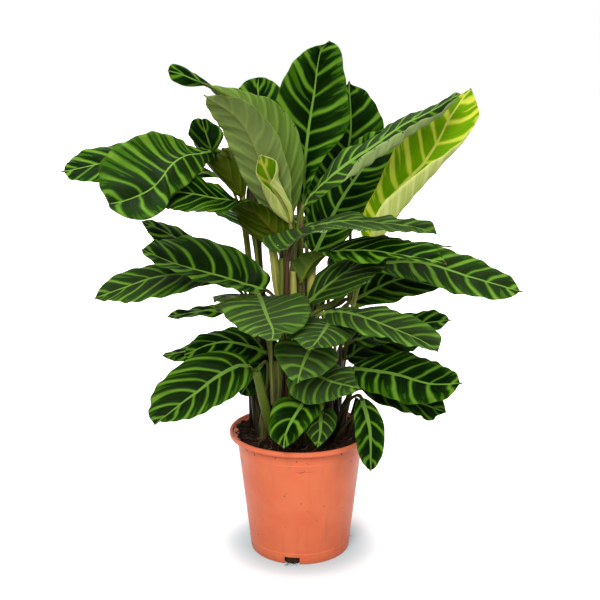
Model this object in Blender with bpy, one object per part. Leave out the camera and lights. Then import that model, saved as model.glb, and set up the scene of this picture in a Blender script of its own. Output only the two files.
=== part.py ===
"""Potted calathea: striped leaf blades, leaf stalks in shoots, soil and a tapered nursery pot.

Metres, +Z up. The origin is the centre of the pot's base, on the surface that it stands on.
A viewer in front of the plant looks along +Y.
"""

import math

import bmesh
import bpy
import numpy as np
from mathutils import Matrix

# Pot
POT_HEIGHT = 0.182
POT_BASE_RADIUS = 0.073
POT_WALL_RADIUS = 0.0925  # outside of the wall, where the lip starts
POT_LIP_RADIUS = 0.1035
POT_LIP_HEIGHT = 0.012
POT_LIP_REACH = 0.003  # the slope under the lip, and how far the mouth flares inside it
POT_RIM_WIDTH = 0.004
POT_WALL = 0.003
POT_FLOOR = 0.004
POT_ROUNDING = 0.0015
POT_SEGMENTS = 48
NOTCH_COUNT = 3
NOTCH_WIDTH = 0.022
NOTCH_HEIGHT = 0.009
NOTCH_DEPTH = 0.030
NOTCH_FIRST_ANGLE = math.radians(-99)

# Soil
SOIL_TOP = 0.170
GAP = 0.0003  # between pieces that touch

SHARP_ANGLE = math.radians(40)  # steeper edges than this are shaded sharp

# Leaf blades
BLADE_THICKNESS = 0.0012
BLADE_BASE_WIDTH = 0.0026  # half the width where the stalk joins
BLADE_STATIONS = (0, 0.04, 0.13, 0.28, 0.46, 0.64, 0.80, 0.91, 0.975)
BLADE_ROUNDNESS = (0.50, 0.54)  # how full the outline is towards the base and towards the tip
FOLD = 8  # degrees that each half rises from the midrib
CURL = -12  # degrees that each half bends down again towards its edge
BLADE_STRIPS = 4  # strips across a blade, unless its row has its own number

# Leaf stalks
STALK_TOP_RADIUS = 0.0022
STALK_SHEATH_RADIUS = 0.0052
STALK_SIDES = 6
STALK_STEPS = 8
STALK_SPREAD = 0.007  # how far the stalks of a shoot start from its middle
STALK_FIRST_ANGLE = 0.4  # radians
STALK_FOOT = 0.0015  # how far the stalks start above the crown's foot
STALK_RISE = 0.5  # share of the height that a stalk climbs before it bends outwards
STALK_LEAN = 0.2  # share of the reach that it has gained by then
NECK_LENGTH = 0.045  # the bend under the blade
NECK_SHARE = 0.35  # and the most of a short stalk's height that it takes

# Crowns, where the stalks of a shoot leave the soil
CROWN_RADIUS = 0.013
CROWN_WAIST = 0.0104
CROWN_TOP = 0.0059
CROWN_HEIGHT = 0.030
CROWN_SEGMENTS = 12

MATERIALS = {
    "pot_plastic": ((0.80, 0.20, 0.09), 0.45),
    "soil": ((0.02, 0.013, 0.009), 0.95),
    "leaf_mature": ((0.03, 0.12, 0.02), 0.50),
    "leaf_young": ((0.20, 0.42, 0.04), 0.45),
    "stalk_green": ((0.22, 0.28, 0.08), 0.50),
}

# Where each shoot stands on the soil: x, y
SHOOTS = {
    "left": (-0.054, -0.028),
    "left_rear": (-0.056, 0.012),
    "centre_left": (-0.024, -0.018),
    "centre": (-0.004, 0.012),
    "front": (0.014, -0.040),
    "right": (0.046, -0.022),
    "right_rear": (0.046, 0.020),
    "rear": (0.006, 0.052),
}

UP = (0, 0, 1)

# One row for each leaf. The spine runs from the stalk to the tip, face is the way that the
# top side looks at the base, and tip_face the way that it looks at the tip. fold and curl are
# degrees on the left and right of the midrib, seen from the stalk, and sides are the shares of
# half_width that those two halves have.
LEAVES = [
    # crown
    dict(name="crown_front", shoot="centre", half_width=0.051, face=(0, -1, 0.1),
         spine=((0.000, 0.015, 0.505), (0.010, 0.030, 0.615), (0.040, 0.030, 0.735))),
    dict(name="crown_rear_left", shoot="rear", half_width=0.045, face=(-0.2, -1, 0.2),
         spine=((-0.020, 0.060, 0.460), (-0.060, 0.100, 0.580), (-0.067, 0.120, 0.685))),
    dict(name="crown_rear_right", shoot="rear", half_width=0.057, face=(0.2, -1, 0.2),
         spine=((0.030, 0.085, 0.455), (0.073, 0.115, 0.585), (0.073, 0.125, 0.680))),
    dict(name="olive_front", shoot="centre_left", half_width=0.037, face=(0.4, 1, 0.5),
         tip_face=(0.1, 0.8, 0.8),
         spine=((-0.026, -0.020, 0.490), (-0.056, -0.060, 0.588), (-0.080, -0.085, 0.634),
                (-0.121, -0.110, 0.664))),
    dict(name="olive_rear", shoot="centre_left", half_width=0.045, face=(0.3, 1, 0.3),
         tip_face=(0, -0.6, 1),
         spine=((-0.012, -0.015, 0.500), (-0.026, -0.030, 0.562), (-0.050, -0.055, 0.633),
                (-0.090, -0.085, 0.667), (-0.163, -0.115, 0.690))),
    dict(name="spear", shoot="centre_left", half_width=0.030, face=(0.1, -1, 0.4), young=True,
         fold=(15, 15), curl=(135, 135), across=10,
         spine=((-0.033, -0.035, 0.501), (-0.040, -0.075, 0.545), (-0.051, -0.105, 0.587))),
    dict(name="small_left", shoot="left_rear", half_width=0.030, face=(-0.2, -1, 0.3),
         spine=((-0.090, 0.030, 0.525), (-0.118, 0.010, 0.586), (-0.141, 0.000, 0.630))),
    # upper tier, left
    dict(name="big_left", shoot="left_rear", half_width=0.062, face=(0.5, 0.4, 0.7),
         tip_face=(-0.2, -0.9, 0.6), fold=(5, 18), curl=(-25, -12), sides=(0.75, 1),
         spine=((-0.080, 0.005, 0.515), (-0.116, -0.072, 0.580), (-0.155, -0.115, 0.585),
                (-0.191, -0.145, 0.556), (-0.234, -0.170, 0.530))),
    dict(name="far_left", shoot="left_rear", half_width=0.043, face=(0, -0.5, 0.9),
         spine=((-0.112, 0.050, 0.545), (-0.227, 0.030, 0.567), (-0.335, 0.010, 0.552))),
    dict(name="left_under", shoot="centre_left", half_width=0.045, face=(0.2, 0.3, 0.9),
         tip_face=(0, -0.8, 0.7), sides=(0.5, 1),
         spine=((-0.045, -0.020, 0.460), (-0.100, -0.050, 0.513), (-0.138, -0.080, 0.524),
                (-0.182, -0.100, 0.521))),
    # upper tier, right
    dict(name="right_upper", shoot="centre_left", half_width=0.045, face=(0, -0.1, 1),
         spine=((-0.025, -0.045, 0.467), (0.040, -0.075, 0.490), (0.112, -0.090, 0.497),
                (0.180, -0.100, 0.486))),
    dict(name="long_roll", shoot="centre", half_width=0.042, face=(-0.5, -0.3, 0.8),
         fold=(8, 10), curl=(-12, 90), sides=(1, 0.55), across=8,
         spine=((0.006, -0.025, 0.488), (0.057, -0.020, 0.562), (0.121, -0.020, 0.602),
                (0.216, -0.005, 0.660))),
    dict(name="bright_right", shoot="right_rear", half_width=0.052, face=(-0.3, -1, 0.2), young=True,
         fold=(5, -15), curl=(-5, 140), across=8,
         spine=((0.100, 0.045, 0.450), (0.157, 0.050, 0.540), (0.204, 0.050, 0.610),
                (0.241, 0.040, 0.670))),
    dict(name="dark_behind", shoot="rear", half_width=0.045, face=(-0.3, -1, 0.4),
         spine=((0.021, 0.060, 0.431), (0.065, 0.080, 0.515), (0.136, 0.100, 0.610))),
    # middle tier, right
    dict(name="right_mid", shoot="centre", half_width=0.045, face=(-0.3, -0.1, 1),
         tip_face=(0, -0.2, 1),
         spine=((0.000, -0.030, 0.406), (0.016, -0.060, 0.441), (0.068, -0.100, 0.468),
                (0.128, -0.130, 0.464), (0.186, -0.150, 0.455))),
    dict(name="rightmost", shoot="right_rear", half_width=0.043, face=(0, -0.5, 0.86),
         spine=((0.102, 0.000, 0.427), (0.168, -0.020, 0.433), (0.238, -0.030, 0.414),
                (0.309, -0.040, 0.395))),
    dict(name="mid_right", shoot="front", half_width=0.040, face=(-0.2, -0.3, 1),
         spine=((0.008, -0.030, 0.370), (0.054, -0.080, 0.415), (0.117, -0.140, 0.448))),
    dict(name="under_rightmost", shoot="right_rear", half_width=0.042, face=(0, -0.4, 0.9),
         spine=((0.088, 0.040, 0.357), (0.135, 0.050, 0.388), (0.215, 0.100, 0.371))),
    dict(name="mid_right_lower", shoot="front", half_width=0.039, face=(0, -0.2, 1),
         spine=((0.035, -0.050, 0.363), (0.080, -0.100, 0.374), (0.136, -0.140, 0.356),
                (0.178, -0.160, 0.342))),
    dict(name="thin_right", shoot="right_rear", half_width=0.035, face=(0, 0.2, 1),
         spine=((0.067, 0.085, 0.420), (0.149, 0.085, 0.442), (0.226, 0.075, 0.439))),
    # lower tier, right
    dict(name="small_right", shoot="right_rear", half_width=0.034, face=(0, -0.4, 0.9),
         spine=((0.079, 0.000, 0.315), (0.161, -0.040, 0.348), (0.208, -0.060, 0.360))),
    dict(name="dark_right", shoot="right_rear", half_width=0.045, face=(-0.1, -0.4, 0.9),
         spine=((0.068, 0.008, 0.286), (0.108, 0.003, 0.312), (0.177, 0.000, 0.319))),
    dict(name="big_right", shoot="right", half_width=0.042, face=(0, -0.6, 0.8),
         spine=((0.073, -0.040, 0.285), (0.127, -0.080, 0.289), (0.176, -0.100, 0.281),
                (0.216, -0.120, 0.288))),
    dict(name="under_big_right", shoot="right", half_width=0.033, face=(0, -0.5, 0.8),
         spine=((0.073, 0.000, 0.255), (0.129, -0.030, 0.240), (0.208, -0.050, 0.226))),
    dict(name="hang_front", shoot="right", half_width=0.022, face=(0.2, -1, 0.2),
         spine=((0.085, -0.080, 0.254), (0.095, -0.105, 0.217), (0.097, -0.110, 0.161))),
    dict(name="hang_rear", shoot="right", half_width=0.016, face=(0.3, -1, 0.2),
         spine=((0.090, -0.050, 0.222), (0.100, -0.076, 0.195), (0.098, -0.090, 0.150))),
    # middle tier, front
    dict(name="centre_front", shoot="centre_left", half_width=0.054, face=(-0.12, -0.1, 1),
         spine=((-0.053, -0.040, 0.386), (-0.044, -0.140, 0.398), (-0.027, -0.220, 0.374))),
    dict(name="behind_centre", shoot="centre_left", half_width=0.028, face=(0, 0.7, 0.7),
         spine=((-0.050, -0.005, 0.370), (-0.080, -0.025, 0.373), (-0.117, -0.050, 0.379))),
    dict(name="centre_right", shoot="front", half_width=0.042, face=(0.12, -0.1, 1),
         spine=((0.041, -0.060, 0.357), (0.033, -0.120, 0.358), (0.018, -0.170, 0.356),
                (0.011, -0.200, 0.353))),
    dict(name="centre_low", shoot="front", half_width=0.040, face=(0, -0.3, 1),
         spine=((0.017, -0.050, 0.317), (0.008, -0.120, 0.323), (0.001, -0.155, 0.315),
                (-0.004, -0.180, 0.306))),
    dict(name="centre_lower", shoot="front", half_width=0.040, face=(0, -0.6, 0.8),
         spine=((0.000, -0.050, 0.278), (0.034, -0.095, 0.278), (0.074, -0.150, 0.286))),
    dict(name="front_low", shoot="front", half_width=0.033, face=(-0.1, -0.9, 0.4),
         spine=((0.017, -0.070, 0.259), (0.004, -0.090, 0.247), (-0.014, -0.110, 0.227),
                (-0.020, -0.130, 0.200))),
    dict(name="front_small", shoot="front", half_width=0.020, face=(0, -0.9, 0.4),
         spine=((0.028, -0.060, 0.233), (0.026, -0.085, 0.217), (0.025, -0.110, 0.194))),
    # middle and lower tiers, left
    dict(name="thin_left", shoot="left_rear", half_width=0.030, face=(0, 0.05, 1),
         spine=((-0.090, 0.030, 0.348), (-0.136, 0.012, 0.354), (-0.190, -0.005, 0.351))),
    dict(name="left_tier_top", shoot="left_rear", half_width=0.030, face=(0, -0.5, 0.85),
         spine=((-0.095, 0.045, 0.400), (-0.158, 0.035, 0.452), (-0.228, 0.020, 0.484))),
    dict(name="left_tier_middle", shoot="centre_left", half_width=0.050, face=(0, -0.3, 1),
         fold=(-5, 35), curl=(-12, -10),
         spine=((-0.050, -0.022, 0.395), (-0.095, -0.030, 0.414), (-0.168, -0.050, 0.439),
                (-0.216, -0.060, 0.459))),
    dict(name="left_tier_low", shoot="left_rear", half_width=0.043, face=(0, -0.45, 0.9),
         spine=((-0.095, 0.030, 0.387), (-0.168, 0.000, 0.407), (-0.223, -0.030, 0.398),
                (-0.284, -0.050, 0.386))),
    dict(name="low_left", shoot="left", half_width=0.043, face=(-0.2, -0.8, 0.6),
         spine=((-0.064, -0.060, 0.293), (-0.114, -0.090, 0.289), (-0.160, -0.120, 0.264),
                (-0.193, -0.140, 0.236))),
    dict(name="behind_low_left", shoot="left", half_width=0.040, face=(0, -0.6, 0.8),
         spine=((-0.046, -0.010, 0.298), (-0.104, -0.034, 0.319), (-0.160, -0.062, 0.312))),
    dict(name="tip_left", shoot="left_rear", half_width=0.020, face=(0, -0.5, 0.9),
         spine=((-0.123, 0.010, 0.297), (-0.158, -0.005, 0.300), (-0.197, -0.015, 0.296))),
    dict(name="under_low_left", shoot="left", half_width=0.020, face=(0, -1, 0.5),
         spine=((-0.055, -0.010, 0.282), (-0.073, -0.015, 0.258), (-0.086, -0.015, 0.237))),
    # rear
    dict(name="rear_high", shoot="rear", half_width=0.045, face=(0, 0.3, 1),
         spine=((0.010, 0.110, 0.430), (0.015, 0.190, 0.465), (0.005, 0.275, 0.450))),
    dict(name="rear_left_high", shoot="rear", half_width=0.046, face=(-0.1, 0.3, 1),
         spine=((-0.040, 0.100, 0.440), (-0.110, 0.170, 0.480), (-0.170, 0.235, 0.470))),
    dict(name="rear_left_low", shoot="rear", half_width=0.045, face=(-0.2, 0.4, 1),
         spine=((-0.040, 0.090, 0.340), (-0.100, 0.150, 0.365), (-0.160, 0.205, 0.340))),
    dict(name="rear_low", shoot="rear", half_width=0.045, face=(0, 0.5, 1),
         spine=((0.000, 0.100, 0.310), (-0.005, 0.165, 0.340), (-0.010, 0.240, 0.320))),
    dict(name="rear_right_high", shoot="rear", half_width=0.046, face=(0.2, 0.3, 1),
         spine=((0.050, 0.110, 0.400), (0.110, 0.170, 0.430), (0.170, 0.220, 0.410))),
    dict(name="rear_right_low", shoot="right_rear", half_width=0.042, face=(0.2, 0.4, 1),
         spine=((0.065, 0.075, 0.290), (0.110, 0.130, 0.320), (0.160, 0.190, 0.300))),
    dict(name="rear_foot", shoot="rear", half_width=0.034, face=(0.1, 0.8, 0.6),
         spine=((0.020, 0.085, 0.235), (0.030, 0.125, 0.240), (0.035, 0.175, 0.215))),
]


def clear_scene():
    for item in list(bpy.data.objects):
        bpy.data.objects.remove(item, do_unlink=True)


def make_material(name):
    colour, roughness = MATERIALS[name]
    material = bpy.data.materials.new(name)
    material.use_nodes = True
    shader = material.node_tree.nodes["Principled BSDF"]
    shader.inputs["Base Color"].default_value = (*colour, 1)
    shader.inputs["Roughness"].default_value = roughness
    shader.inputs["Metallic"].default_value = 0
    return material


def new_object(name, vertices, faces, material):
    """A mesh object from points and faces, with its faces turned outwards and shaded smooth."""
    mesh = bpy.data.meshes.new(name)
    mesh.from_pydata([tuple(map(float, point)) for point in vertices], [], faces)
    work = bmesh.new()
    work.from_mesh(mesh)
    bmesh.ops.recalc_face_normals(work, faces=work.faces)
    work.to_mesh(mesh)
    work.free()
    mesh.materials.append(material)
    mesh.shade_smooth()
    mesh.set_sharp_from_angle(angle=SHARP_ANGLE)
    item = bpy.data.objects.new(name, mesh)
    bpy.context.scene.collection.objects.link(item)
    return item


def turned(name, profile, segments, material):
    """A closed profile of (radius, height) points turned about Z. A point at radius 0 is a pole."""
    vertices = []
    rings = []
    for radius, height in profile:
        count = segments if radius > 0 else 1
        rings.append(list(range(len(vertices), len(vertices) + count)))
        for step in range(count):
            angle = 2 * math.pi * step / segments
            vertices.append((radius * math.cos(angle), radius * math.sin(angle), height))
    faces = []
    for lower, upper in zip(rings, rings[1:]):
        for step in range(segments):
            follow = (step + 1) % segments
            corners = [lower[step % len(lower)], lower[follow % len(lower)],
                       upper[follow % len(upper)], upper[step % len(upper)]]
            faces.append(list(dict.fromkeys(corners)))
    return new_object(name, vertices, [face for face in faces if len(face) > 2], material)


def unit(vectors):
    return vectors / np.linalg.norm(vectors, axis=-1, keepdims=True)


def spine_curve(points, params):
    """Points and directions on the cubic that best follows the spine's points."""
    points = np.array(points, dtype=float)
    steps = np.linalg.norm(np.diff(points, axis=0), axis=1)
    knots = np.concatenate(([0], np.cumsum(steps))) / steps.sum()
    degree = min(3, len(points) - 1)
    fitted = np.polyfit(knots, points, degree)
    powers = np.arange(degree, -1, -1)
    params = np.asarray(params, dtype=float)[:, None]
    places = (params ** powers) @ fitted
    slopes = (powers[:-1] * params ** (powers[:-1] - 1)) @ fitted[:-1]
    return places, unit(slopes)


def outline(params):
    """Half the blade's width along its length, as a share of the widest."""
    base, tip = BLADE_ROUNDNESS
    widest = base / (base + tip)
    full = widest ** base * (1 - widest) ** tip
    return params ** base * (1 - params) ** tip / full


def side_arc(fold, curl, share):
    """How far out and up an arc of unit length has gone after this share of it."""
    start = math.radians(fold)
    bend = math.radians(curl)
    out = (np.sin(start + bend * share) - math.sin(start)) / bend
    rise = (math.cos(start) - np.cos(start + bend * share)) / bend
    return out, rise, start + bend * share


def blade_mesh(leaf):
    """Vertices and faces of a thin closed blade: a ring for each station and a point at the tip."""
    stations = np.array(BLADE_STATIONS)
    places, along = spine_curve(leaf["spine"], np.append(stations, 1))
    tip = places[-1]
    places, along = places[:-1], along[:-1]
    face = np.array(leaf["face"], dtype=float)
    tip_face = np.array(leaf.get("tip_face", leaf["face"]), dtype=float)
    looks = face + (tip_face - face) * stations[:, None]
    normal = unit(looks - (looks * along).sum(axis=1, keepdims=True) * along)
    side = np.cross(along, normal)
    widths = np.maximum(outline(stations) * leaf["half_width"], BLADE_BASE_WIDTH)

    half = leaf.get("across", BLADE_STRIPS) // 2
    folds = leaf.get("fold", (FOLD, FOLD))
    curls = leaf.get("curl", (CURL, CURL))
    shares = leaf.get("sides", (1, 1))
    top = []
    bottom = []
    for step in range(-half, half + 1):
        hand = 0 if step < 0 else 1
        share = abs(step) / half
        out, rise, angle = side_arc(folds[hand], curls[hand], share)
        sign = -1 if step < 0 else 1
        offset = shares[hand] * (sign * out * side + rise * normal)
        point = places + offset * widths[:, None]
        local = math.cos(angle) * normal - sign * math.sin(angle) * side
        if step == 0:
            local = normal
        top.append(point)
        if abs(step) < half:
            bottom.append(point - local * BLADE_THICKNESS)
    ring = top + bottom[::-1]
    count = len(ring)
    vertices = np.stack(ring, axis=1).reshape(-1, 3)
    faces = []
    for row in range(len(stations) - 1):
        for step in range(count):
            follow = (step + 1) % count
            faces.append((row * count + step, row * count + follow,
                          (row + 1) * count + follow, (row + 1) * count + step))
    last = (len(stations) - 1) * count
    pole = len(vertices)
    vertices = np.vstack((vertices, tip))
    for step in range(count):
        faces.append((last + step, last + (step + 1) % count, pole))
    wide = 2 * half
    faces.append((0, 1, count - 1))
    for step in range(1, wide - 1):
        faces.append((step, step + 1, count - step - 1, count - step))
    faces.append((wide - 1, wide, wide + 1))
    return vertices, faces


def make_blade(leaf, materials):
    vertices, faces = blade_mesh(leaf)
    finish = materials["leaf_young" if leaf.get("young") else "leaf_mature"]
    return new_object("leaf_" + leaf["name"], vertices, faces, finish)


def stalk_path(leaf, place):
    """A Bezier from the shoot's crown, straight up at first, to just under the blade's base."""
    base, along = spine_curve(leaf["spine"], [0])
    base, along = base[0], along[0]
    end = base - GAP * along
    start = np.array(place)
    height = end[2] - start[2]
    neck = min(NECK_LENGTH, NECK_SHARE * height)
    bend = start + (end - start) * (STALK_LEAN, STALK_LEAN, STALK_RISE)
    controls = np.array((start, bend, end - neck * along, end))
    share = np.linspace(0, 1, STALK_STEPS + 1)[:, None]
    rest = 1 - share
    weights = np.hstack((rest ** 3, 3 * rest ** 2 * share, 3 * rest * share ** 2, share ** 3))
    path = weights @ controls
    return path, along, share[:, 0]


def stalk_mesh(leaf, place):
    """A round tube that is wide in its sheath and thin under the blade."""
    path, along, share = stalk_path(leaf, place)
    direction = unit(np.gradient(path, axis=0))
    direction[0] = UP
    direction[-1] = along
    radii = STALK_TOP_RADIUS + (STALK_SHEATH_RADIUS - STALK_TOP_RADIUS) * (1 - share) ** 2
    level = unit(np.cross(UP, along))
    other = unit(np.cross(direction, level))
    across = np.cross(other, direction)
    angles = np.arange(STALK_SIDES) * 2 * math.pi / STALK_SIDES
    ring = (np.cos(angles)[None, :, None] * across[:, None, :]
            + np.sin(angles)[None, :, None] * other[:, None, :])
    vertices = (path[:, None, :] + ring * radii[:, None, None]).reshape(-1, 3)
    faces = []
    for row in range(STALK_STEPS):
        for step in range(STALK_SIDES):
            follow = (step + 1) % STALK_SIDES
            faces.append((row * STALK_SIDES + step, row * STALK_SIDES + follow,
                          (row + 1) * STALK_SIDES + follow, (row + 1) * STALK_SIDES + step))
    faces.append(tuple(range(STALK_SIDES)))
    faces.append(tuple(range(STALK_STEPS * STALK_SIDES, (STALK_STEPS + 1) * STALK_SIDES)))
    return vertices, faces


def make_shoot(name, place, materials):
    """The crown of a shoot, with the stalks of its leaves joined to it in one solid."""
    finish = materials["stalk_green"]
    foot = SOIL_TOP + GAP
    profile = [(0, foot), (CROWN_RADIUS, foot), (CROWN_WAIST, foot + CROWN_HEIGHT / 2),
               (CROWN_TOP, foot + CROWN_HEIGHT), (0, foot + CROWN_HEIGHT)]
    crown = turned("shoot_" + name, profile, CROWN_SEGMENTS, finish)
    crown.data.transform(Matrix.Translation((*place, 0)))
    members = [leaf for leaf in LEAVES if leaf["shoot"] == name]
    for index, leaf in enumerate(members):
        angle = STALK_FIRST_ANGLE + index * 2 * math.pi / len(members)
        start = (place[0] + STALK_SPREAD * math.cos(angle),
                 place[1] + STALK_SPREAD * math.sin(angle), foot + STALK_FOOT)
        vertices, faces = stalk_mesh(leaf, start)
        stalk = new_object("guide_" + leaf["name"], vertices, faces, finish)
        stalk.hide_render = True
        stalk.display_type = "WIRE"
        union = crown.modifiers.new(leaf["name"], "BOOLEAN")
        union.operation = "UNION"
        union.solver = "MANIFOLD"
        union.object = stalk
    return crown


def make_pot(materials):
    """A tapered pot with a lip and rectangular drain notches round its foot."""
    lip_foot = POT_HEIGHT - POT_LIP_HEIGHT
    inner_foot = POT_BASE_RADIUS - POT_WALL
    inner_top = POT_WALL_RADIUS - POT_WALL
    roll = POT_ROUNDING
    profile = [
        (0, 0),
        (POT_BASE_RADIUS - roll, 0),
        (POT_BASE_RADIUS, roll),
        (POT_WALL_RADIUS, lip_foot - POT_LIP_REACH),
        (POT_LIP_RADIUS - roll, lip_foot),
        (POT_LIP_RADIUS, lip_foot + roll),
        (POT_LIP_RADIUS, POT_HEIGHT - roll),
        (POT_LIP_RADIUS - roll, POT_HEIGHT),
        (POT_LIP_RADIUS - POT_RIM_WIDTH, POT_HEIGHT),
        (inner_top + POT_LIP_REACH, lip_foot),
        (inner_foot, POT_FLOOR),
        (0, POT_FLOOR),
    ]
    pot = turned("pot", profile, POT_SEGMENTS, materials["pot_plastic"])
    for index in range(NOTCH_COUNT):
        angle = NOTCH_FIRST_ANGLE + index * 2 * math.pi / NOTCH_COUNT
        place = (POT_BASE_RADIUS * math.cos(angle), POT_BASE_RADIUS * math.sin(angle), 0)
        bpy.ops.mesh.primitive_cube_add(size=1, location=place, rotation=(0, 0, angle),
                                        scale=(NOTCH_DEPTH, NOTCH_WIDTH, 2 * NOTCH_HEIGHT))
        cutter = bpy.context.active_object
        cutter.name = f"guide_notch_{index + 1}"
        cutter.hide_render = True
        cutter.display_type = "WIRE"
        cut = pot.modifiers.new(cutter.name, "BOOLEAN")
        cut.operation = "DIFFERENCE"
        cut.solver = "EXACT"
        cut.object = cutter
    return pot


def make_soil(materials):
    """The block of soil that fills the pot to a little below its lip."""
    lip_foot = POT_HEIGHT - POT_LIP_HEIGHT
    inner_foot = POT_BASE_RADIUS - POT_WALL
    inner_top = POT_WALL_RADIUS - POT_WALL + POT_LIP_REACH
    slope = (inner_top - inner_foot) / (lip_foot - POT_FLOOR)
    low = POT_FLOOR + GAP
    wall_gap = 2 * GAP
    profile = [
        (0, low),
        (inner_foot + slope * (low - POT_FLOOR) - wall_gap, low),
        (inner_foot + slope * (SOIL_TOP - POT_FLOOR) - wall_gap, SOIL_TOP),
        (0, SOIL_TOP),
    ]
    return turned("soil", profile, POT_SEGMENTS, materials["soil"])


def main():
    clear_scene()
    materials = {name: make_material(name) for name in MATERIALS}
    make_pot(materials)
    make_soil(materials)
    for name, place in SHOOTS.items():
        make_shoot(name, place, materials)
    for leaf in LEAVES:
        make_blade(leaf, materials)


main()
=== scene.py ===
import math

import bpy
import numpy as np
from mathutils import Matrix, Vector


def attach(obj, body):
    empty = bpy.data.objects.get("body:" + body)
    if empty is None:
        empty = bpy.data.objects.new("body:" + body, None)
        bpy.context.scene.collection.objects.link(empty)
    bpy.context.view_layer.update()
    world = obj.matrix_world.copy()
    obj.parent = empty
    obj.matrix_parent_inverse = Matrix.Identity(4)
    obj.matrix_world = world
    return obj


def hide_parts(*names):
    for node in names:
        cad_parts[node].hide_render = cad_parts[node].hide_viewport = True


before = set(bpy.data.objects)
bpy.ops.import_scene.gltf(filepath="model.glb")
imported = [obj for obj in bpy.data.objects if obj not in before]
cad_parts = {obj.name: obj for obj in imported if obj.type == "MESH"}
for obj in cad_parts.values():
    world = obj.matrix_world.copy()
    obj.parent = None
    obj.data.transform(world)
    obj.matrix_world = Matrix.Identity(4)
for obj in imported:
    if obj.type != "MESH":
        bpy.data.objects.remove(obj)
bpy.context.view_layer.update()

# A potted calathea. Metres, +Z up, the origin at the centre of the pot's base; -Y faces the camera.

up = np.array((0.0, 0.0, 1.0))


def unit(vectors):
    return vectors / np.maximum(np.linalg.norm(vectors, axis=-1, keepdims=True), 1e-12)


def ease(values, low, high):
    # 0 up to low, 1 from high, and a smooth step between them
    share = np.clip((values - low) / (high - low), 0, 1)
    return share * share * (3 - 2 * share)


def smoothPath(points, count):
    # Catmull-Rom curve through the points, read at even steps of its own length; its length comes second
    p = np.array(points, dtype=float)
    p = np.vstack((2 * p[0] - p[1], p, 2 * p[-1] - p[-2]))
    t = np.linspace(0, 1, 32, endpoint=False)[:, None]
    parts = [0.5 * (2 * b + (c - a) * t + (2 * a - 5 * b + 4 * c - d) * t ** 2
                    + (3 * b - a - 3 * c + d) * t ** 3)
             for a, b, c, d in zip(p, p[1:], p[2:], p[3:])]
    dense = np.vstack(parts + [p[-2:-1]])
    run = np.concatenate(([0], np.cumsum(np.linalg.norm(np.diff(dense, axis=0), axis=1))))
    steps = np.linspace(0, run[-1], count)
    return np.stack([np.interp(steps, run, dense[:, axis]) for axis in range(3)], axis=1), run[-1]


def curve(row, key, count):
    # one curve of a table row, which is in millimetres, and its length, both in metres
    return smoothPath(0.001 * np.array(row[key], dtype=float), count)


def along(values, share):
    # several values, spread evenly from base to tip and read smoothly at each share of the length
    values = np.array(values, dtype=float)
    if len(values) == 1:
        return np.repeat(values, len(share), axis=0)
    spot = share * (len(values) - 1)
    low = np.minimum(spot.astype(int), len(values) - 2)
    blend = ease(spot - low, 0, 1)
    if values.ndim > 1:
        blend = blend[:, None]
    return values[low] * (1 - blend) + values[low + 1] * blend


def gridFaces(rows, columns, wrap=False):
    # quads between neighbouring rows and columns of a grid of points, numbered row by row
    count = columns if wrap else columns - 1
    row, column = np.meshgrid(np.arange(rows - 1), np.arange(count), indexing="ij")
    follow = (column + 1) % columns
    quads = np.stack((row * columns + column, row * columns + follow,
                      (row + 1) * columns + follow, (row + 1) * columns + column), axis=-1)
    return quads.reshape(-1, 4)


def addObject(name, data):
    item = bpy.data.objects.new(name, data)
    bpy.context.scene.collection.objects.link(item)
    return item


def makeMesh(name, places, faceArrays, materials, kinds=None, maps=None, looks=None, smooth=True):
    # places is points by 3; each face array holds faces of one size; kinds gives a material to each array
    mesh = bpy.data.meshes.new(name)
    corners = np.concatenate([faces.ravel() for faces in faceArrays]).astype(np.int32)
    sizes = np.concatenate([np.full(len(faces), faces.shape[1]) for faces in faceArrays])
    mesh.vertices.add(len(places))
    mesh.vertices.foreach_set("co", np.ascontiguousarray(places, dtype=np.float32).ravel())
    mesh.loops.add(len(corners))
    mesh.loops.foreach_set("vertex_index", corners)
    mesh.polygons.add(len(sizes))
    mesh.polygons.foreach_set("loop_start", np.concatenate(([0], np.cumsum(sizes)[:-1])).astype(np.int32))
    for material in materials:
        mesh.materials.append(material)
    if kinds is not None:
        index = np.concatenate([np.full(len(faces), kind) for faces, kind in zip(faceArrays, kinds)])
        mesh.polygons.foreach_set("material_index", index.astype(np.int32))
    mesh.update(calc_edges=True)
    for mapName, values in (maps or {}).items():
        layer = mesh.uv_layers.new(name=mapName)
        layer.data.foreach_set("uv", np.ascontiguousarray(values[corners], dtype=np.float32).ravel())
    if looks is not None:
        layer = mesh.color_attributes.new("look", "FLOAT_COLOR", "POINT")
        layer.data.foreach_set("color", np.ascontiguousarray(looks, dtype=np.float32).ravel())
    mesh.polygons.foreach_set("use_smooth", np.full(len(sizes), smooth))
    mesh.update()
    return addObject(name, mesh)


def joined(parts, faceColumns=(1,)):
    # several (places, faces, ...) sets as one, with the point numbers in the face columns moved up
    starts = np.cumsum([0] + [len(part[0]) for part in parts[:-1]])
    return [np.concatenate([part[k] + start if k in faceColumns else part[k]
                            for part, start in zip(parts, starts)]) for k in range(len(parts[0]))]


def place(item, slot, *nodes):
    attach(item, "root")
    if nodes:
        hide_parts(*nodes)


class Value:
    # an output socket of a shader tree; sums with it add their own nodes to the tree
    def __init__(self, socket):
        self.socket = socket
        self.tree = socket.id_data

    def __add__(self, other):
        return calc("ADD", self, other)

    def __sub__(self, other):
        return calc("SUBTRACT", self, other)

    def __rsub__(self, other):
        return calc("SUBTRACT", other, self)

    def __mul__(self, other):
        return calc("MULTIPLY", self, other)

    def __abs__(self):
        return calc("ABSOLUTE", self)


def feed(socket, source):
    if isinstance(source, Value):
        source.tree.links.new(source.socket, socket)
    else:
        socket.default_value = source


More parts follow.
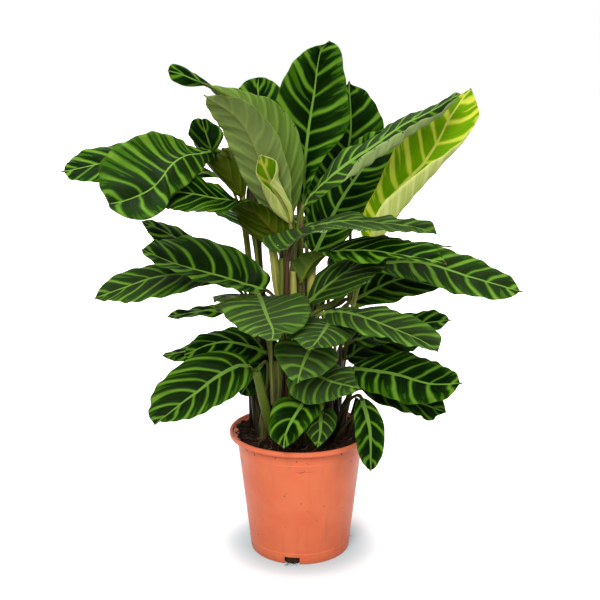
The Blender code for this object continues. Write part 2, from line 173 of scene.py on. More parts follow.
def node(tree, kind, inputs, outputs=(0,), **settings):
    # makes a node with its settings and feeds its inputs; the values are those of the outputs asked for
    item = tree.nodes.new("ShaderNode" + kind)
    for name, value in settings.items():
        setattr(item, name, value)
    for name, source in inputs:
        feed(item.inputs[name], source)
    return [Value(item.outputs[name]) for name in outputs]


def treeOf(*sources):
    return next(source.tree for source in sources if isinstance(source, Value))


def calc(operation, *sources):
    return node(treeOf(*sources), "Math", enumerate(sources), operation=operation)[0]


def line(value, slope, start):
    return calc("MULTIPLY_ADD", value, slope, start)


def centred(share, size):
    # 0 to 1 spread over the size, half of it to each side of zero
    return line(share, size, -size / 2)


def step(value, low, high, outLow=0.0, outHigh=1.0):
    # outLow up to low, outHigh from high, and a smooth step between them
    sources = enumerate((value, low, high, outLow, outHigh))
    return node(value.tree, "MapRange", sources, interpolation_type="SMOOTHSTEP")[0]


def fade(value, low, high):
    # 1 up to low and 0 from high
    return step(value, low, high, 1.0, 0.0)


def mix(share, first, second):
    # of two colours
    inputs = ((0, share), (6, first), (7, second))
    return node(share.tree, "Mix", inputs, (2,), data_type="RGBA", clamp_factor=True)[0]


def vector(x, y, z):
    return node(treeOf(x, y, z), "CombineXYZ", enumerate((x, y, z)))[0]


def split(where):
    return node(where.tree, "SeparateXYZ", ((0, where),), (0, 1, 2))


def noise(where, scale=1.0, detail=2.0, rough=0.5):
    inputs = (("Vector", where), ("Scale", scale), ("Detail", detail), ("Roughness", rough))
    return node(where.tree, "TexNoise", inputs)[0]


def drawnNoise(axes, scales, detail=2.0, rough=0.5):
    # noise with a scale of its own along each axis, so that it is drawn out where the scale is small
    return noise(vector(*(axis * scale for axis, scale in zip(axes, scales))), 1.0, detail, rough)


def uvMap(tree, name):
    # both axes of a map
    return split(node(tree, "UVMap", (), uv_map=name)[0])[:2]


def lookOf(tree):
    # the four values of the colour attribute
    colour, alpha = node(tree, "Attribute", (), ("Vector", "Alpha"), attribute_name="look")
    return [*split(colour), alpha]


def objectPlace(tree):
    return node(tree, "TexCoord", (), ("Object",))[0]


def srgb(red, green, blue):
    # a colour as the eye names it, 0 to 255, in the shader's linear values
    shares = [channel / 255 for channel in (red, green, blue)]
    return (*(c / 12.92 if c <= 0.04045 else ((c + 0.055) / 1.055) ** 2.4 for c in shares), 1)


def newGroup(name, inputs, outputs):
    # a node group, the values that come into it and the sockets that its results go to
    tree = bpy.data.node_groups.new(name, "ShaderNodeTree")
    for way, labels in (("INPUT", inputs), ("OUTPUT", outputs)):
        for label in labels:
            tree.interface.new_socket(name=label, in_out=way, socket_type="NodeSocketFloat")
    given = tree.nodes.new("NodeGroupInput").outputs
    return tree, [Value(given[label]) for label in inputs], tree.nodes.new("NodeGroupOutput").inputs


def newMaterial(name, roughness, specular):
    material = bpy.data.materials.new(name)
    material.use_nodes = True
    sockets = material.node_tree.nodes["Principled BSDF"].inputs
    sockets["Roughness"].default_value = roughness
    sockets["Specular IOR Level"].default_value = specular
    return material, material.node_tree, sockets


def bump(sockets, height, strength, distance):
    inputs = (("Strength", strength), ("Distance", distance), ("Height", height))
    feed(sockets["Normal"], node(height.tree, "Bump", inputs)[0])


pattern = dict(
    rightSeed=7.3,  # so that the two halves of a leaf differ
    # noises that bend the bands, feather their edges and draw fine veins along them: the scales along the
    # count of bands and across, the detail and the roughness
    sway=((0.8, 1.3), 1.0, 0.5),
    feather=((8.0, 2.6), 2.0, 0.5),
    veins=((16.0, 1.5), 2.0, 0.6),
    swaySize=0.50,  # in steps of the bands
    featherSize=0.05,
    widening=(0.55, 0.66),  # a band's width: how much it grows on the way to the edge, and where it starts
    chance=(0.9, 0.55),  # and the same over the band's own random value
    bandEdge=(-0.07, 0.05),
    coreEdge=(-0.12, -0.03),
    streakStart=(1.9, -0.22),
    streakGrowth=0.26,
    streakEdge=(-0.04, 0.03),
    streakPoint=0.12,
    streakLight=0.8,
    teethFrom=(0.9, 0.55),  # how much of the feather noise and of the way to the edge
    teethEdge=(0.92, 1.08),
    teethLight=0.8,
    marginFeather=0.03,
    marginEdge=(0.965, 1.0),
    marginLight=0.55,
    ribTaper=(1.25, 0.35),
    ribEdge=(-0.0003, 0.0004),
)


# The pattern of one blade: map "bands" counts the light bands along u and goes across by v, -1 to 1;
# map "blade" is the share of the length and the distance from the midrib in metres.
def makeZebra():
    tree, (lightWidth, streaks, ribWidth, seed), out = newGroup(
        "zebraBands", ("Light Width", "Streaks", "Rib Width", "Seed"), ("Light", "Core", "Rib", "Grain"))
    count, v = uvMap(tree, "bands")
    length, reach = uvMap(tree, "blade")
    across = abs(v)
    hand = calc("GREATER_THAN", v, 0.0)
    phase = line(hand, blade["handShift"], count)
    seed = line(hand, pattern["rightSeed"], seed)

    def bandNoise(scales, detail, rough):
        return noise(vector(phase * scales[0], across * scales[1], seed), 1.0, detail, rough)

    def chanceOf(number, scale, layer):
        # one random value for each whole number
        return noise(vector(number * scale, seed, layer), 1.0, 0.0)

    phase = phase + centred(bandNoise(*pattern["sway"]), pattern["swaySize"])
    feather = bandNoise(*pattern["feather"])
    phase = phase + centred(feather, pattern["featherSize"])
    bandChance = chanceOf(calc("FLOOR", phase), 3.71, 0.5)
    streakChance = chanceOf(calc("ROUND", phase), 5.13, 4.5)

    # one light band in the middle of each step, a little wider towards the edge
    toBand = abs(calc("FRACT", phase) - 0.5)
    half = lightWidth * line(across, *pattern["widening"])
    offBand = toBand - half * line(bandChance, *pattern["chance"])
    band = fade(offBand, *pattern["bandEdge"])
    feed(out["Core"], fade(offBand, *pattern["coreEdge"]))

    # one streak at most between two bands, which starts at the edge and ends in a point on the way in
    toStreak = 0.5 - toBand
    grow = across - line(streakChance, *pattern["streakStart"])
    width = grow * pattern["streakGrowth"] * streaks
    streak = fade(toStreak - width, *pattern["streakEdge"]) * step(grow, 0.0, pattern["streakPoint"])

    # fine teeth of light along the edge, and the thin light edge itself
    byFeather, byEdge = pattern["teethFrom"]
    teeth = step(line(feather, byFeather, across * byEdge), *pattern["teethEdge"])
    margin = step(line(feather, pattern["marginFeather"], across), *pattern["marginEdge"])
    light = calc("MAXIMUM", band, streak * pattern["streakLight"])
    light = calc("MAXIMUM", light, teeth * pattern["teethLight"])
    feed(out["Light"], calc("MAXIMUM", light, margin * pattern["marginLight"]))

    # the midrib, which narrows to the tip
    ribHalf = ribWidth * step(length, 0.0, 1.0, *pattern["ribTaper"])
    feed(out["Rib"], fade(abs(reach) - ribHalf, *pattern["ribEdge"]))
    feed(out["Grain"], bandNoise(*pattern["veins"]))
    return tree


leafFinish = dict(
    shine=0.02,
    seedStep=40.0,
    patchScale=38.0,  # of the noise that makes the colours and the gloss uneven
    patchSpread=0.8,
    outwards=(0.3, 1.0),  # where on the way to the edge the dark bands turn to their outer colour
    veins=(0.40, 0.80),
    veinShare=0.14,
    core=(0.3, 0.6, 0.5, 1.0),
    hue=(0.5, 0.45),  # without any yellow, and with all of it
    value=(0.55, 1.45),  # of the darkest tone and of the lightest
    dryTip=(120, 85, 45),
    dry=(0.998, 1.006),  # where along the blade its tip dries out
    # the grey veil on each side, a painted sheen that stands in for the reflection of the white
    # surroundings: its colour, and how much of the pattern a full veil hides
    bloom=dict(top=((92, 116, 68), 0.6), under=((190, 205, 150), 1.2)),
    # widths are the light band's, as a share of a step, and half of the midrib's in metres; colours are the
    # dark band by the midrib and by the edge, the light band, its core, and the midrib
    sides=dict(
        top=dict(name="leaf_top", bloom="top", roughness=0.40, streaks=1.0, widths=(0.165, 0.0025),
                 colours=((2, 25, 0), (12, 50, 2), (54, 104, 10), (98, 145, 42), (108, 154, 58))),
        under=dict(name="leaf_under", bloom="under", roughness=0.5, streaks=1.0, widths=(0.14, 0.0011),
                   colours=((88, 114, 46), (82, 112, 40), (98, 130, 52), (106, 138, 56), (120, 128, 44))),
        oliveUnder=dict(name="leaf_under_olive", bloom="under", roughness=0.5, streaks=1.0,
                        widths=(0.14, 0.0013),
                        colours=((64, 84, 10), (60, 80, 8), (76, 100, 16), (82, 106, 20), (88, 84, 26))),
        # the young finish is lighter than the mature one, and its colours are raised further to stand in
        # for the light that shines through a young leaf from behind: partly painted light
        youngTop=dict(name="leaf_young_top", bloom="top", roughness=0.42, streaks=0.6,
                      widths=(0.17, 0.0030),
                      colours=((106, 164, 4), (90, 152, 2), (200, 218, 60), (216, 228, 84),
                               (220, 226, 106))),
        youngUnder=dict(name="leaf_young_under", bloom="under", roughness=0.5, streaks=0.6,
                        widths=(0.14, 0.0016),
                        colours=((208, 224, 126), (196, 218, 108), (220, 232, 142), (226, 236, 148),
                                 (218, 224, 124))),
    ),
)


def makeLeafMaterial(zebra, name, bloom, roughness, streaks, widths, colours):
    # look holds the tone, the seed of the pattern, how yellow it is and how much painted sheen it has
    finish = leafFinish
    material, tree, sockets = newMaterial(name, roughness, finish["shine"])
    tone, seed, yellow, sheenShare = lookOf(tree)
    inputs = (("Light Width", widths[0]), ("Streaks", streaks), ("Rib Width", widths[1]),
              ("Seed", seed * finish["seedStep"]))
    inLight, inCore, inRib, grain = node(tree, "Group", inputs, ("Light", "Core", "Rib", "Grain"),
                                         node_tree=zebra)
    darkIn, darkOut, light, core, rib = (srgb(*colour) for colour in colours)
    patches = noise(objectPlace(tree), finish["patchScale"], 3.0)
    outwards = abs(uvMap(tree, "bands")[1]) + centred(patches, finish["patchSpread"])
    dark = mix(step(outwards, *finish["outwards"]), darkIn, darkOut)
    dark = mix(step(grain, *finish["veins"]) * finish["veinShare"], dark, light)
    bright = mix(inCore * step(patches, *finish["core"]), light, core)
    colour = mix(inRib, mix(inLight, dark, bright), rib)
    # a grey veil over the colour: painted sheen, which stands in for the white surroundings reflected by
    # leaves that lie flat
    veil, strength = finish["bloom"][bloom]
    colour = mix(sheenShare * strength, colour, srgb(*veil))
    # the tone scales the value of the colour; it is raised on leaves that lie in shade and lowered on some
    # others to darken them, which is partly painted light
    inputs = (("Hue", step(yellow, 0.0, 1.0, *finish["hue"])), ("Color", colour),
              ("Value", step(tone, 0.0, 1.0, *finish["value"])))
    colour = node(tree, "HueSaturation", inputs)[0]
    dry = step(line(patches, 0.02, uvMap(tree, "blade")[0]), *finish["dry"])
    feed(sockets["Base Color"], mix(dry, colour, srgb(*finish["dryTip"])))
    # the light bands are a little glossier, and the patches make the gloss uneven
    feed(sockets["Roughness"], line(patches, 0.16, line(inLight, -0.06, roughness) - 0.08))
    bump(sockets, line(grain, 0.6, patches * 0.5), 0.5, 0.0009)
    return material


def makeLeafMaterials():
    zebra = makeZebra()
    return {side: makeLeafMaterial(zebra, **values) for side, values in leafFinish["sides"].items()}


# The finish and form of a blade; a leaf's own row overrides fullness, bandStep, slant, pleat and ripple.
blade = dict(
    rows=76,
    columns=33,
    samples=400,  # points read along each curve before the rows are laid
    crowding=0.25,  # how much closer together the rows stand at the two ends
    thickness=0.0008,
    edgeThickness=0.0003,
    baseHalf=0.0024,  # half the width where the stalk joins
    tipHalf=0.0004,
    fullness=(0.50, 0.48),  # how round the outline is towards the base and towards the tip
    bodyLength=0.972,  # where along the blade the outline closes, and leaves the drip tip
    drip=0.05,  # half width of the drip tip, as a share of the blade's
    dripLength=0.03,
    fold=8,  # degrees that each half rises from the midrib, and that it bends on the way out
    curl=-14,
    bulge=0.05,  # how far a half arches between the midrib and its edge, as a share of its width
    bandStep=0.0250,  # metres of midrib to each light band
    bandGrowth=0.25,  # how much denser than the mean the first bands stand, and how much looser the last
    slant=(0.55, 0.35),  # how far the bands lean to the tip, near the midrib and more towards the edge
    tipSlant=0.3,  # and how much more towards the tip
    handShift=0.12,  # how far the right half's bands are out of step with the left half's
    pleat=0.0012,
    ripple=0.0030,
    rippleGrowth=2.2,  # the power at which it grows to the edge
    rippleHalf=0.03,  # a half this wide or wider ripples in full
    rippleShares=(0.65, 0.35),  # a slow ripple and a finer one
    rippleWaves=(0.42, 1.03),  # waves to each band
    scallop=0.012,
    scallopWaves=0.9,
    rib=0.0013,
    groove=(0.6, 0.0018, 0.6),  # depth in ribs, reach in metres, and what it loses on the way to the tip
    keel=(1.1, 0.0016, 0.7),
)


def outline(share, fullness):
    # half the width along the length: a power of the way from the base times one of the way to the tip
    base, tip = fullness
    body = np.clip(share / blade["bodyLength"], 0, 1)
    widest = base / (base + tip)
    full = widest ** base * (1 - widest) ** tip
    drip = blade["drip"] * np.sqrt(np.clip(1 - share, 0, 1) / blade["dripLength"]) * (share > 0.7)
    return np.maximum(body ** base * (1 - body) ** tip / full, np.minimum(drip, blade["drip"]))


def arcHalves(leaf, spine, u, share, hand):
    # each half goes out and up along an arc, which starts at fold degrees and bends by curl degrees
    tangent = unit(np.gradient(spine, axis=0))
    looks = along(leaf["faces"], u)
    normal = unit(looks - (looks * tangent).sum(axis=1, keepdims=True) * tangent)
    side = np.cross(tangent, normal)
    half = leaf["half"] * outline(u, leaf.get("fullness", blade["fullness"]))
    half = np.maximum(half, np.interp(u, (0, 1), (blade["baseHalf"], blade["tipHalf"])))[:, None]
    start, bend = np.radians(blade["fold"]), np.radians(blade["curl"])
    out = (np.sin(start + bend * share) - np.sin(start)) / bend
    rise = (np.cos(start) - np.cos(start + bend * share)) / bend
    return (spine[:, None, :] + (out * half * (2 * hand - 1))[..., None] * side[:, None, :]
            + (rise * half)[..., None] * normal[:, None, :])


def edgeHalves(leaf, spine, u, share, hand):
    # each half is an arc from the midrib to its own edge curve, over a crest where it is rolled
    tangent = unit(np.gradient(spine, axis=0))
    places = np.zeros((len(u), len(share), 3))
    for number, word in enumerate(("left", "right")):
        pick = hand == number
        toEdge = evenly(leaf, word, u) - spine
        for row, near, least in ((0, 2, blade["baseHalf"]), (-1, -3, blade["tipHalf"])):
            toEdge[row] = unit(toEdge[near]) * least
        normal = unit(np.cross(toEdge, tangent)) * (2 * number - 1)
        if word + "Crest" in leaf:
            control = 2 * (evenly(leaf, word + "Crest", u) - spine) - toEdge / 2
            control[[0, -1]] = toEdge[[0, -1]] / 2
        else:
            size = np.linalg.norm(toEdge, axis=1, keepdims=True)
            control = toEdge / 2 + 2 * blade["bulge"] * size * normal
        s = share[pick][None, :, None]
        places[:, pick] = (spine[:, None, :] + 2 * s * (1 - s) * control[:, None, :]
                           + s ** 2 * toEdge[:, None, :])
    return places


def evenly(leaf, key, u):
    # a curve of the leaf, read at the shares u of its length
    points = curve(leaf, key, blade["samples"])[0]
    shares = np.linspace(0, 1, blade["samples"])
    return np.stack([np.interp(u, shares, points[:, axis]) for axis in range(3)], axis=1)


def bladeShape(leaf):
    # A surface of two parameters: the share of the spine's length, and v from the left edge (-1) over the
    # midrib (0) to the right edge (1), plus pleats that follow the bands and ripples that grow to the edge.
    rows, columns = blade["rows"], blade["columns"]
    u = np.linspace(0, 1, rows)
    u = (1 - blade["crowding"]) * u + blade["crowding"] * (1 - np.cos(np.pi * u)) / 2
    v = np.linspace(-1, 1, columns)
    share, hand = np.abs(v), (v > 0).astype(int)
    length = curve(leaf, "spine", blade["samples"])[1]
    shift = np.random.default_rng(leaf["seed"]).uniform(0, 1, 8)
    halves = edgeHalves if "left" in leaf else arcHalves
    base = halves(leaf, evenly(leaf, "spine", u), u, share, hand)

    # the way out of the surface, and the distance from the midrib along it
    local = unit(np.cross(np.gradient(base, axis=1), np.gradient(base, axis=0)))
    middle = columns // 2
    strip = np.linalg.norm(np.diff(base, axis=1), axis=2)
    reach = np.concatenate((np.cumsum(strip[:, :middle][:, ::-1], axis=1)[:, ::-1], np.zeros((rows, 1)),
                            np.cumsum(strip[:, middle:], axis=1)), axis=1)
    wide = np.where(hand, reach[:, -1:], reach[:, :1])

    # the count of bands at each point: the steps grow longer towards the tip, and the bands lean to the tip
    # on the way out to the edge
    bands = round(length / leaf.get("bandStep", blade["bandStep"]))
    slantIn, slantOut = np.broadcast_to(leaf.get("slant", blade["slant"]), (2, 2))[hand].T
    lean = (slantIn + slantOut * share + blade["tipSlant"] * u[:, None]) * reach / length
    even = u[:, None] - lean
    phase = bands * (1 + blade["bandGrowth"] - blade["bandGrowth"] * even) * even

    (slow, fine), (slowWaves, fineWaves) = blade["rippleShares"], blade["rippleWaves"]
    size = (leaf.get("ripple", blade["ripple"]) * share[None, :] ** blade["rippleGrowth"]
            * np.minimum(1, wide / blade["rippleHalf"]))
    ripple = size * (slow * np.sin(2 * np.pi * (phase * slowWaves + shift[1 + hand]))
                     + fine * np.sin(2 * np.pi * (phase * fineWaves + shift[3 + hand])))
    pleat = (leaf.get("pleat", blade["pleat"]) * np.cos(2 * np.pi * (phase + blade["handShift"] * hand))
             * np.sin(np.pi * np.minimum(share * 1.1, 1)))
    groove, keel = (depth * blade["rib"] * np.exp(-(reach / spread) ** 2) * (1 - loss * u[:, None])
                    for depth, spread, loss in (blade["groove"], blade["keel"]))
    outwards = unit(np.gradient(base, axis=1)) * np.sign(v)[None, :, None]
    scallop = (blade["scallop"] * wide * np.sin(2 * np.pi * (phase * blade["scallopWaves"] + shift[0]))
               * share ** 3)
    top = base + (ripple + pleat - groove)[..., None] * local + scallop[..., None] * outwards
    thin = blade["thickness"] + (blade["edgeThickness"] - blade["thickness"]) * share[None, :] ** 2
    bottom = top - (thin + keel)[..., None] * local

    # the top sheet, the rim round it and the bottom sheet
    places = np.concatenate((top.reshape(-1, 3), bottom.reshape(-1, 3)))
    count = rows * columns
    sheet = gridFaces(rows, columns)
    grid = np.arange(count).reshape(rows, columns)
    border = np.concatenate((grid[0, :], grid[1:, -1], grid[-1, -2::-1], grid[-2::-1, 0]))
    rim = np.stack((border[:-1], border[:-1] + count, border[1:] + count, border[1:]), axis=1)
    maps = {"bands": (phase, np.tile(v, (rows, 1))),
            "blade": (np.repeat(u[:, None], columns, axis=1), reach * np.sign(v))}
    maps = {name: np.tile(np.stack(pair, axis=-1).reshape(-1, 2), (2, 1)) for name, pair in maps.items()}
    return places, (sheet, rim, sheet[:, ::-1] + count), maps


def makeBlade(leaf, materials):
    places, faces, maps = bladeShape(leaf)
    young = leaf.get("young", False)
    sides = ("youngTop", "youngUnder") if young else ("top", "oliveUnder" if leaf.get("olive") else "under")
    look = (leaf.get("tone", 0.5), (leaf["seed"] % 17) / 17, leaf.get("yellow", 0.3), leaf.get("bloom", 0))
    item = makeMesh("blade_" + leaf["name"], places, faces, [materials[side] for side in sides],
                    kinds=(0, 0, 1), maps=maps, looks=np.tile(look, (len(places), 1)))
    place(item, "leaf_young" if young else "leaf_mature", "leaf_" + leaf["name"])


# One row for each leaf. Its curves are in millimetres, from the stalk to the tip: spine is the midrib, left
# and right are the edges, seen from the stalk with the top side up, and a crest is what a rolled half goes
# over on its way to the edge. A leaf without edge curves has the plain outline: half is half its width in
# metres, and faces are the ways that its top side looks, from base to tip.
# tone, yellow and the sheen value change its colours: the sheen value mixes in a grey veil, which is
# painted sheen, and tone lightens or darkens the whole leaf, partly as painted light where it makes up
# for the light that falls on it; olive gives it the dark underside and young the light green finish;
# bandStep is in metres, and slant is one pair for both halves or a pair for each.
# sheath is the radius of the stalk's sheath in metres and the share of the stalk that it covers, neck is
# the length in metres of the bend below the blade, and red, dark and pale colour the stalk.
leaves = [
    dict(name="crown_front", shoot="centre", red=0.2, pale=0.35, sheath=(0.006, 0.85),
         slant=((0.38, 0.05), (0.36, 0.05)),
         spine=((4, 15, 509), (6, 21, 530), (7, 26, 568), (11, 31, 606), (15, 32, 634), (20, 34, 665),
                (24, 34, 698), (29, 32, 721), (41, 30, 734)),
         left=((3, 12, 509), (-3, 12, 530), (-14, 12, 558), (-24, 12, 586), (-30, 12, 614), (-32, 13, 634),
               (-32, 14, 656), (-26, 16, 676), (-18, 17, 692), (-7, 19, 708), (6, 22, 720), (19, 24, 727),
               (32, 27, 729), (41, 30, 734)),
         right=((6, 12, 509), (11, 12, 530), (20, 13, 551), (32, 13, 572), (49, 14, 592), (63, 14, 610),
                (69, 16, 625), (69, 17, 641), (66, 18, 657), (64, 20, 676), (61, 21, 692), (59, 24, 708),
                (56, 26, 721), (51, 28, 729), (41, 30, 734))),
    dict(name="crown_rear_left", shoot="rear", dark=0.6, sheath=(0.0046, 0.85), slant=(0.4, 0.2),
         spine=((-18, 60, 496), (-28, 76, 545), (-41, 92, 588), (-55, 104, 631), (-62, 112, 664),
                (-61, 120, 685)),
         left=((-19, 60, 496), (-47, 71, 527), (-73, 82, 564), (-91, 92, 601), (-100, 100, 634),
               (-97, 108, 660), (-87, 112, 673), (-74, 116, 682), (-61, 120, 685)),
         right=((-16, 60, 496), (-7, 71, 531), (-3, 82, 569), (-4, 92, 609), (-13, 100, 641),
                (-25, 108, 665), (-37, 112, 677), (-49, 116, 684), (-61, 120, 685))),
    dict(name="crown_rear_right", shoot="rear", dark=0.6, sheath=(0.0046, 0.85), half=0.057,
         faces=((0.2, -1, 0.2),), slant=((0.45, 0.1), (0.45, 0.1)),
         spine=((30, 85, 455), (73, 115, 585), (73, 125, 680))),
    dict(name="olive_front", shoot="centre_left", bloom=0.1, yellow=0.42, tone=0.7, pale=0.3,
         sheath=(0.0058, 0.9), half=0.037, faces=((0.4, 1, 0.5), (0.1, 0.8, 0.8)), pleat=0.0007,
         spine=((-26, -20, 490), (-56, -60, 588), (-80, -85, 634), (-121, -110, 664))),
    dict(name="olive_rear", shoot="centre_left", sheath=(0.0058, 0.92), yellow=0.25,
         spine=((-10, -15, 497), (-14, -15, 520), (-22, -15, 550), (-34, -15, 581), (-52, -20, 616),
                (-70, -25, 640), (-87, -30, 656), (-104, -37, 666), (-119, -43, 674), (-131, -50, 679),
                (-144, -55, 685), (-156, -60, 690), (-171, -65, 694)),
         left=((-10, -15, 497), (0, -10, 526), (6, -4, 560), (3, 0, 590), (-4, 2, 614), (-14, 4, 633),
               (-28, 3, 647), (-44, -2, 658), (-65, -7, 664), (-84, -14, 669), (-101, -21, 673),
               (-115, -28, 675), (-126, -36, 674), (-137, -45, 673), (-151, -54, 674), (-161, -58, 678),
               (-168, -62, 683), (-171, -65, 694)),
         right=((-10, -15, 497), (-18, -9, 519), (-38, -3, 546), (-60, 2, 573), (-80, 6, 600),
                (-97, 10, 630), (-111, 2, 655), (-121, -6, 667), (-127, -17, 676), (-133, -31, 684),
                (-141, -45, 691), (-148, -51, 697), (-156, -57, 701), (-165, -61, 703), (-169, -63, 700),
                (-171, -65, 694))),
    dict(name="spear", shoot="centre_left", pale=0.5, sheath=(0.0056, 0.95), young=True, ripple=0,
         bandStep=0.028, slant=(0.9, 0.6), tone=0.36, pleat=0.0002,
         spine=((-14, -28, 490), (-22, -35, 510), (-30, -43, 528), (-38, -50, 546), (-44, -61, 561),
                (-49, -71, 574), (-52, -82, 587)),
         left=((-15, -36, 491), (-20, -45, 507), (-28, -53, 523), (-37, -62, 536), (-48, -68, 548),
               (-56, -73, 561), (-56, -77, 573), (-52, -82, 587)),
         right=((-12, -36, 491), (-16, -43, 508), (-23, -50, 523), (-31, -57, 536), (-40, -64, 546),
                (-35, -70, 557), (-32, -73, 568), (-33, -76, 578), (-43, -79, 583), (-52, -82, 587)),
         leftCrest=((-16, -32, 490), (-31, -39, 503), (-41, -45, 517), (-47, -52, 531), (-51, -59, 545),
                    (-56, -67, 559), (-56, -74, 572), (-52, -82, 587)),
         rightCrest=((-11, -32, 490), (-10, -38, 502), (-12, -44, 515), (-18, -50, 529), (-25, -56, 544),
                     (-29, -62, 556), (-30, -69, 569), (-37, -76, 580), (-52, -82, 587))),
    dict(name="small_left", shoot="left_rear", tone=0.27, sheath=(0.0028, 0.5), olive=True,
         spine=((-80, 30, 516), (-95, 24, 538), (-111, 18, 564), (-123, 12, 586), (-130, 6, 609),
                (-135, 0, 629)),
         left=((-78, 30, 517), (-76, 40, 539), (-77, 50, 558), (-82, 55, 574), (-94, 60, 586),
               (-109, 55, 586), (-132, 50, 581), (-148, 40, 587), (-154, 30, 600), (-154, 15, 615),
               (-148, 0, 627), (-140, 0, 631), (-135, 0, 629)),
         right=((-81, 30, 516), (-94, 11, 526), (-108, -8, 544), (-120, -27, 562), (-128, -27, 576),
                (-124, -20, 586), (-112, -4, 593), (-106, 9, 606), (-112, 20, 617), (-121, 16, 622),
                (-129, 10, 630), (-135, 0, 629))),
    dict(name="big_left", shoot="left_rear", red=0.45, pale=0.4, sheath=(0.0046, 0.95),
         slant=((-0.6, 0), (-0.2, 0)), bandStep=0.021, bloom=0.09, neck=0.075,
         spine=((-107, 30, 586), (-122, -18, 588), (-135, -48, 587), (-148, -72, 587), (-160, -94, 581),
                (-169, -110, 571), (-177, -126, 559), (-190, -136, 547), (-205, -146, 540),
                (-218, -157, 536), (-236, -165, 533)),
         left=((-107, 30, 586), (-115, 0, 580), (-124, -30, 573), (-129, -58, 566), (-135, -80, 560),
               (-143, -102, 552), (-156, -120, 544), (-163, -135, 538), (-164, -150, 532),
               (-168, -159, 526), (-176, -169, 519), (-188, -176, 516), (-200, -178, 516),
               (-212, -179, 519), (-224, -176, 524), (-234, -171, 529), (-236, -165, 533)),
         right=((-107, 30, 586), (-126, 12, 586), (-138, -5, 590), (-150, -22, 596), (-161, -36, 603),
                (-173, -51, 611), (-184, -65, 615), (-195, -79, 617), (-203, -93, 614), (-217, -104, 609),
                (-228, -113, 603), (-239, -122, 596), (-248, -130, 585), (-252, -137, 574),
                (-252, -144, 560), (-248, -151, 550), (-242, -158, 542), (-236, -165, 533)),
         rightCrest=((-107, 30, 586), (-131, -5, 588), (-150, -40, 588), (-168, -62, 587),
                     (-180, -85, 586), (-189, -100, 582), (-196, -115, 572), (-204, -128, 561),
                     (-213, -140, 558), (-223, -148, 555), (-230, -155, 549), (-235, -160, 541),
                     (-236, -165, 533))),
    dict(name="far_left", shoot="left_rear", sheath=(0.0036, 0.7), half=0.043, faces=((0, -0.5, 0.9),),
         fullness=(0.9, 0.36),
         spine=((-112, 50, 545), (-227, 30, 572), (-335, 10, 556))),
    dict(name="left_under", shoot="centre_left", tone=0.42, bandStep=0.017, slant=(0.8, 0.4),
         sheath=(0.0052, 0.9), olive=True,
         spine=((-20, -20, 460), (-40, -25, 481), (-60, -30, 504), (-76, -45, 519), (-94, -60, 525),
                (-116, -75, 530), (-141, -90, 537), (-165, -100, 540), (-184, -110, 533)),
         left=((-17, -20, 462), (-12, -25, 481), (-22, -30, 498), (-43, -45, 512), (-63, -60, 524),
               (-74, -75, 524), (-84, -90, 520), (-95, -105, 515), (-115, -120, 518), (-141, -122, 519),
               (-158, -125, 520), (-172, -118, 522), (-184, -110, 533)),
         right=((-22, -20, 459), (-35, -15, 458), (-50, -11, 459), (-67, -4, 470), (-84, 3, 486),
                (-96, -3, 503), (-101, -14, 520), (-104, -27, 534), (-112, -41, 543), (-124, -55, 550),
                (-135, -68, 558), (-149, -82, 559), (-166, -96, 553), (-184, -110, 533))),
    dict(name="right_upper", shoot="centre_left", sheath=(0.005, 0.85), slant=(0.9, 0.4), bloom=0.4,
         tone=0.38,
         spine=((-4, -45, 474), (8, -52, 484), (27, -60, 492), (53, -70, 498), (80, -80, 500),
                (106, -85, 498), (132, -90, 496), (157, -95, 492), (179, -100, 486)),
         left=((-4, -45, 475), (0, -43, 486), (11, -42, 492), (22, -40, 493), (34, -40, 498),
               (48, -40, 502), (61, -40, 505), (72, -44, 507), (84, -50, 504), (101, -56, 500),
               (120, -64, 504), (133, -73, 502), (147, -82, 505), (155, -91, 503), (170, -94, 502),
               (175, -97, 498), (179, -100, 486)),
         right=((-6, -45, 475), (-22, -48, 477), (-41, -51, 476), (-52, -54, 470), (-46, -63, 461),
                (-32, -72, 456), (-19, -82, 464), (-7, -91, 476), (6, -101, 484), (23, -110, 490),
                (45, -117, 493), (64, -120, 495), (80, -123, 495), (96, -124, 494), (113, -123, 491),
                (123, -121, 493), (139, -119, 492), (153, -113, 488), (165, -106, 488), (179, -100, 486))),
    dict(name="long_roll", shoot="centre", bloom=0.23, tone=0.6, sheath=(0.0056, 0.85),
         spine=((4, -20, 509), (16, -23, 528), (30, -27, 542), (45, -30, 556), (61, -28, 569),
                (79, -27, 582), (98, -25, 594), (119, -22, 609), (142, -18, 624), (166, -15, 635),
                (188, -10, 646), (204, -5, 656), (219, 0, 663)),
         left=((4, -20, 509), (10, -15, 522), (21, -11, 536), (28, -6, 548), (42, -1, 569), (51, 2, 579),
               (69, 4, 591), (90, 6, 599), (114, 9, 611), (126, 10, 625), (141, 10, 632), (152, 10, 637),
               (160, 10, 636), (170, 9, 642), (187, 7, 651), (203, 5, 658), (212, 2, 665), (219, 0, 663)),
         right=((4, -20, 509), (14, -33, 515), (24, -46, 523), (40, -51, 536), (55, -54, 546),
                (67, -54, 563), (76, -52, 576), (93, -50, 590), (114, -46, 602), (134, -41, 614),
                (154, -34, 624), (175, -26, 634), (190, -17, 639), (204, -9, 651), (219, 0, 663)),
         rightCrest=((4, -20, 509), (12, -31, 519), (22, -41, 528), (35, -46, 540), (51, -49, 549),
                     (67, -49, 555), (80, -47, 564), (97, -45, 574), (114, -41, 586), (132, -36, 598),
                     (151, -29, 611), (169, -21, 622), (186, -13, 631), (202, -6, 643), (219, 0, 663))),
    dict(name="bright_right", shoot="right_rear", sheath=(0.0048, 0.9), young=True, tone=0.57,
         bandStep=0.03, slant=(0.5, 0.25), ripple=0.001, pleat=0.0005,
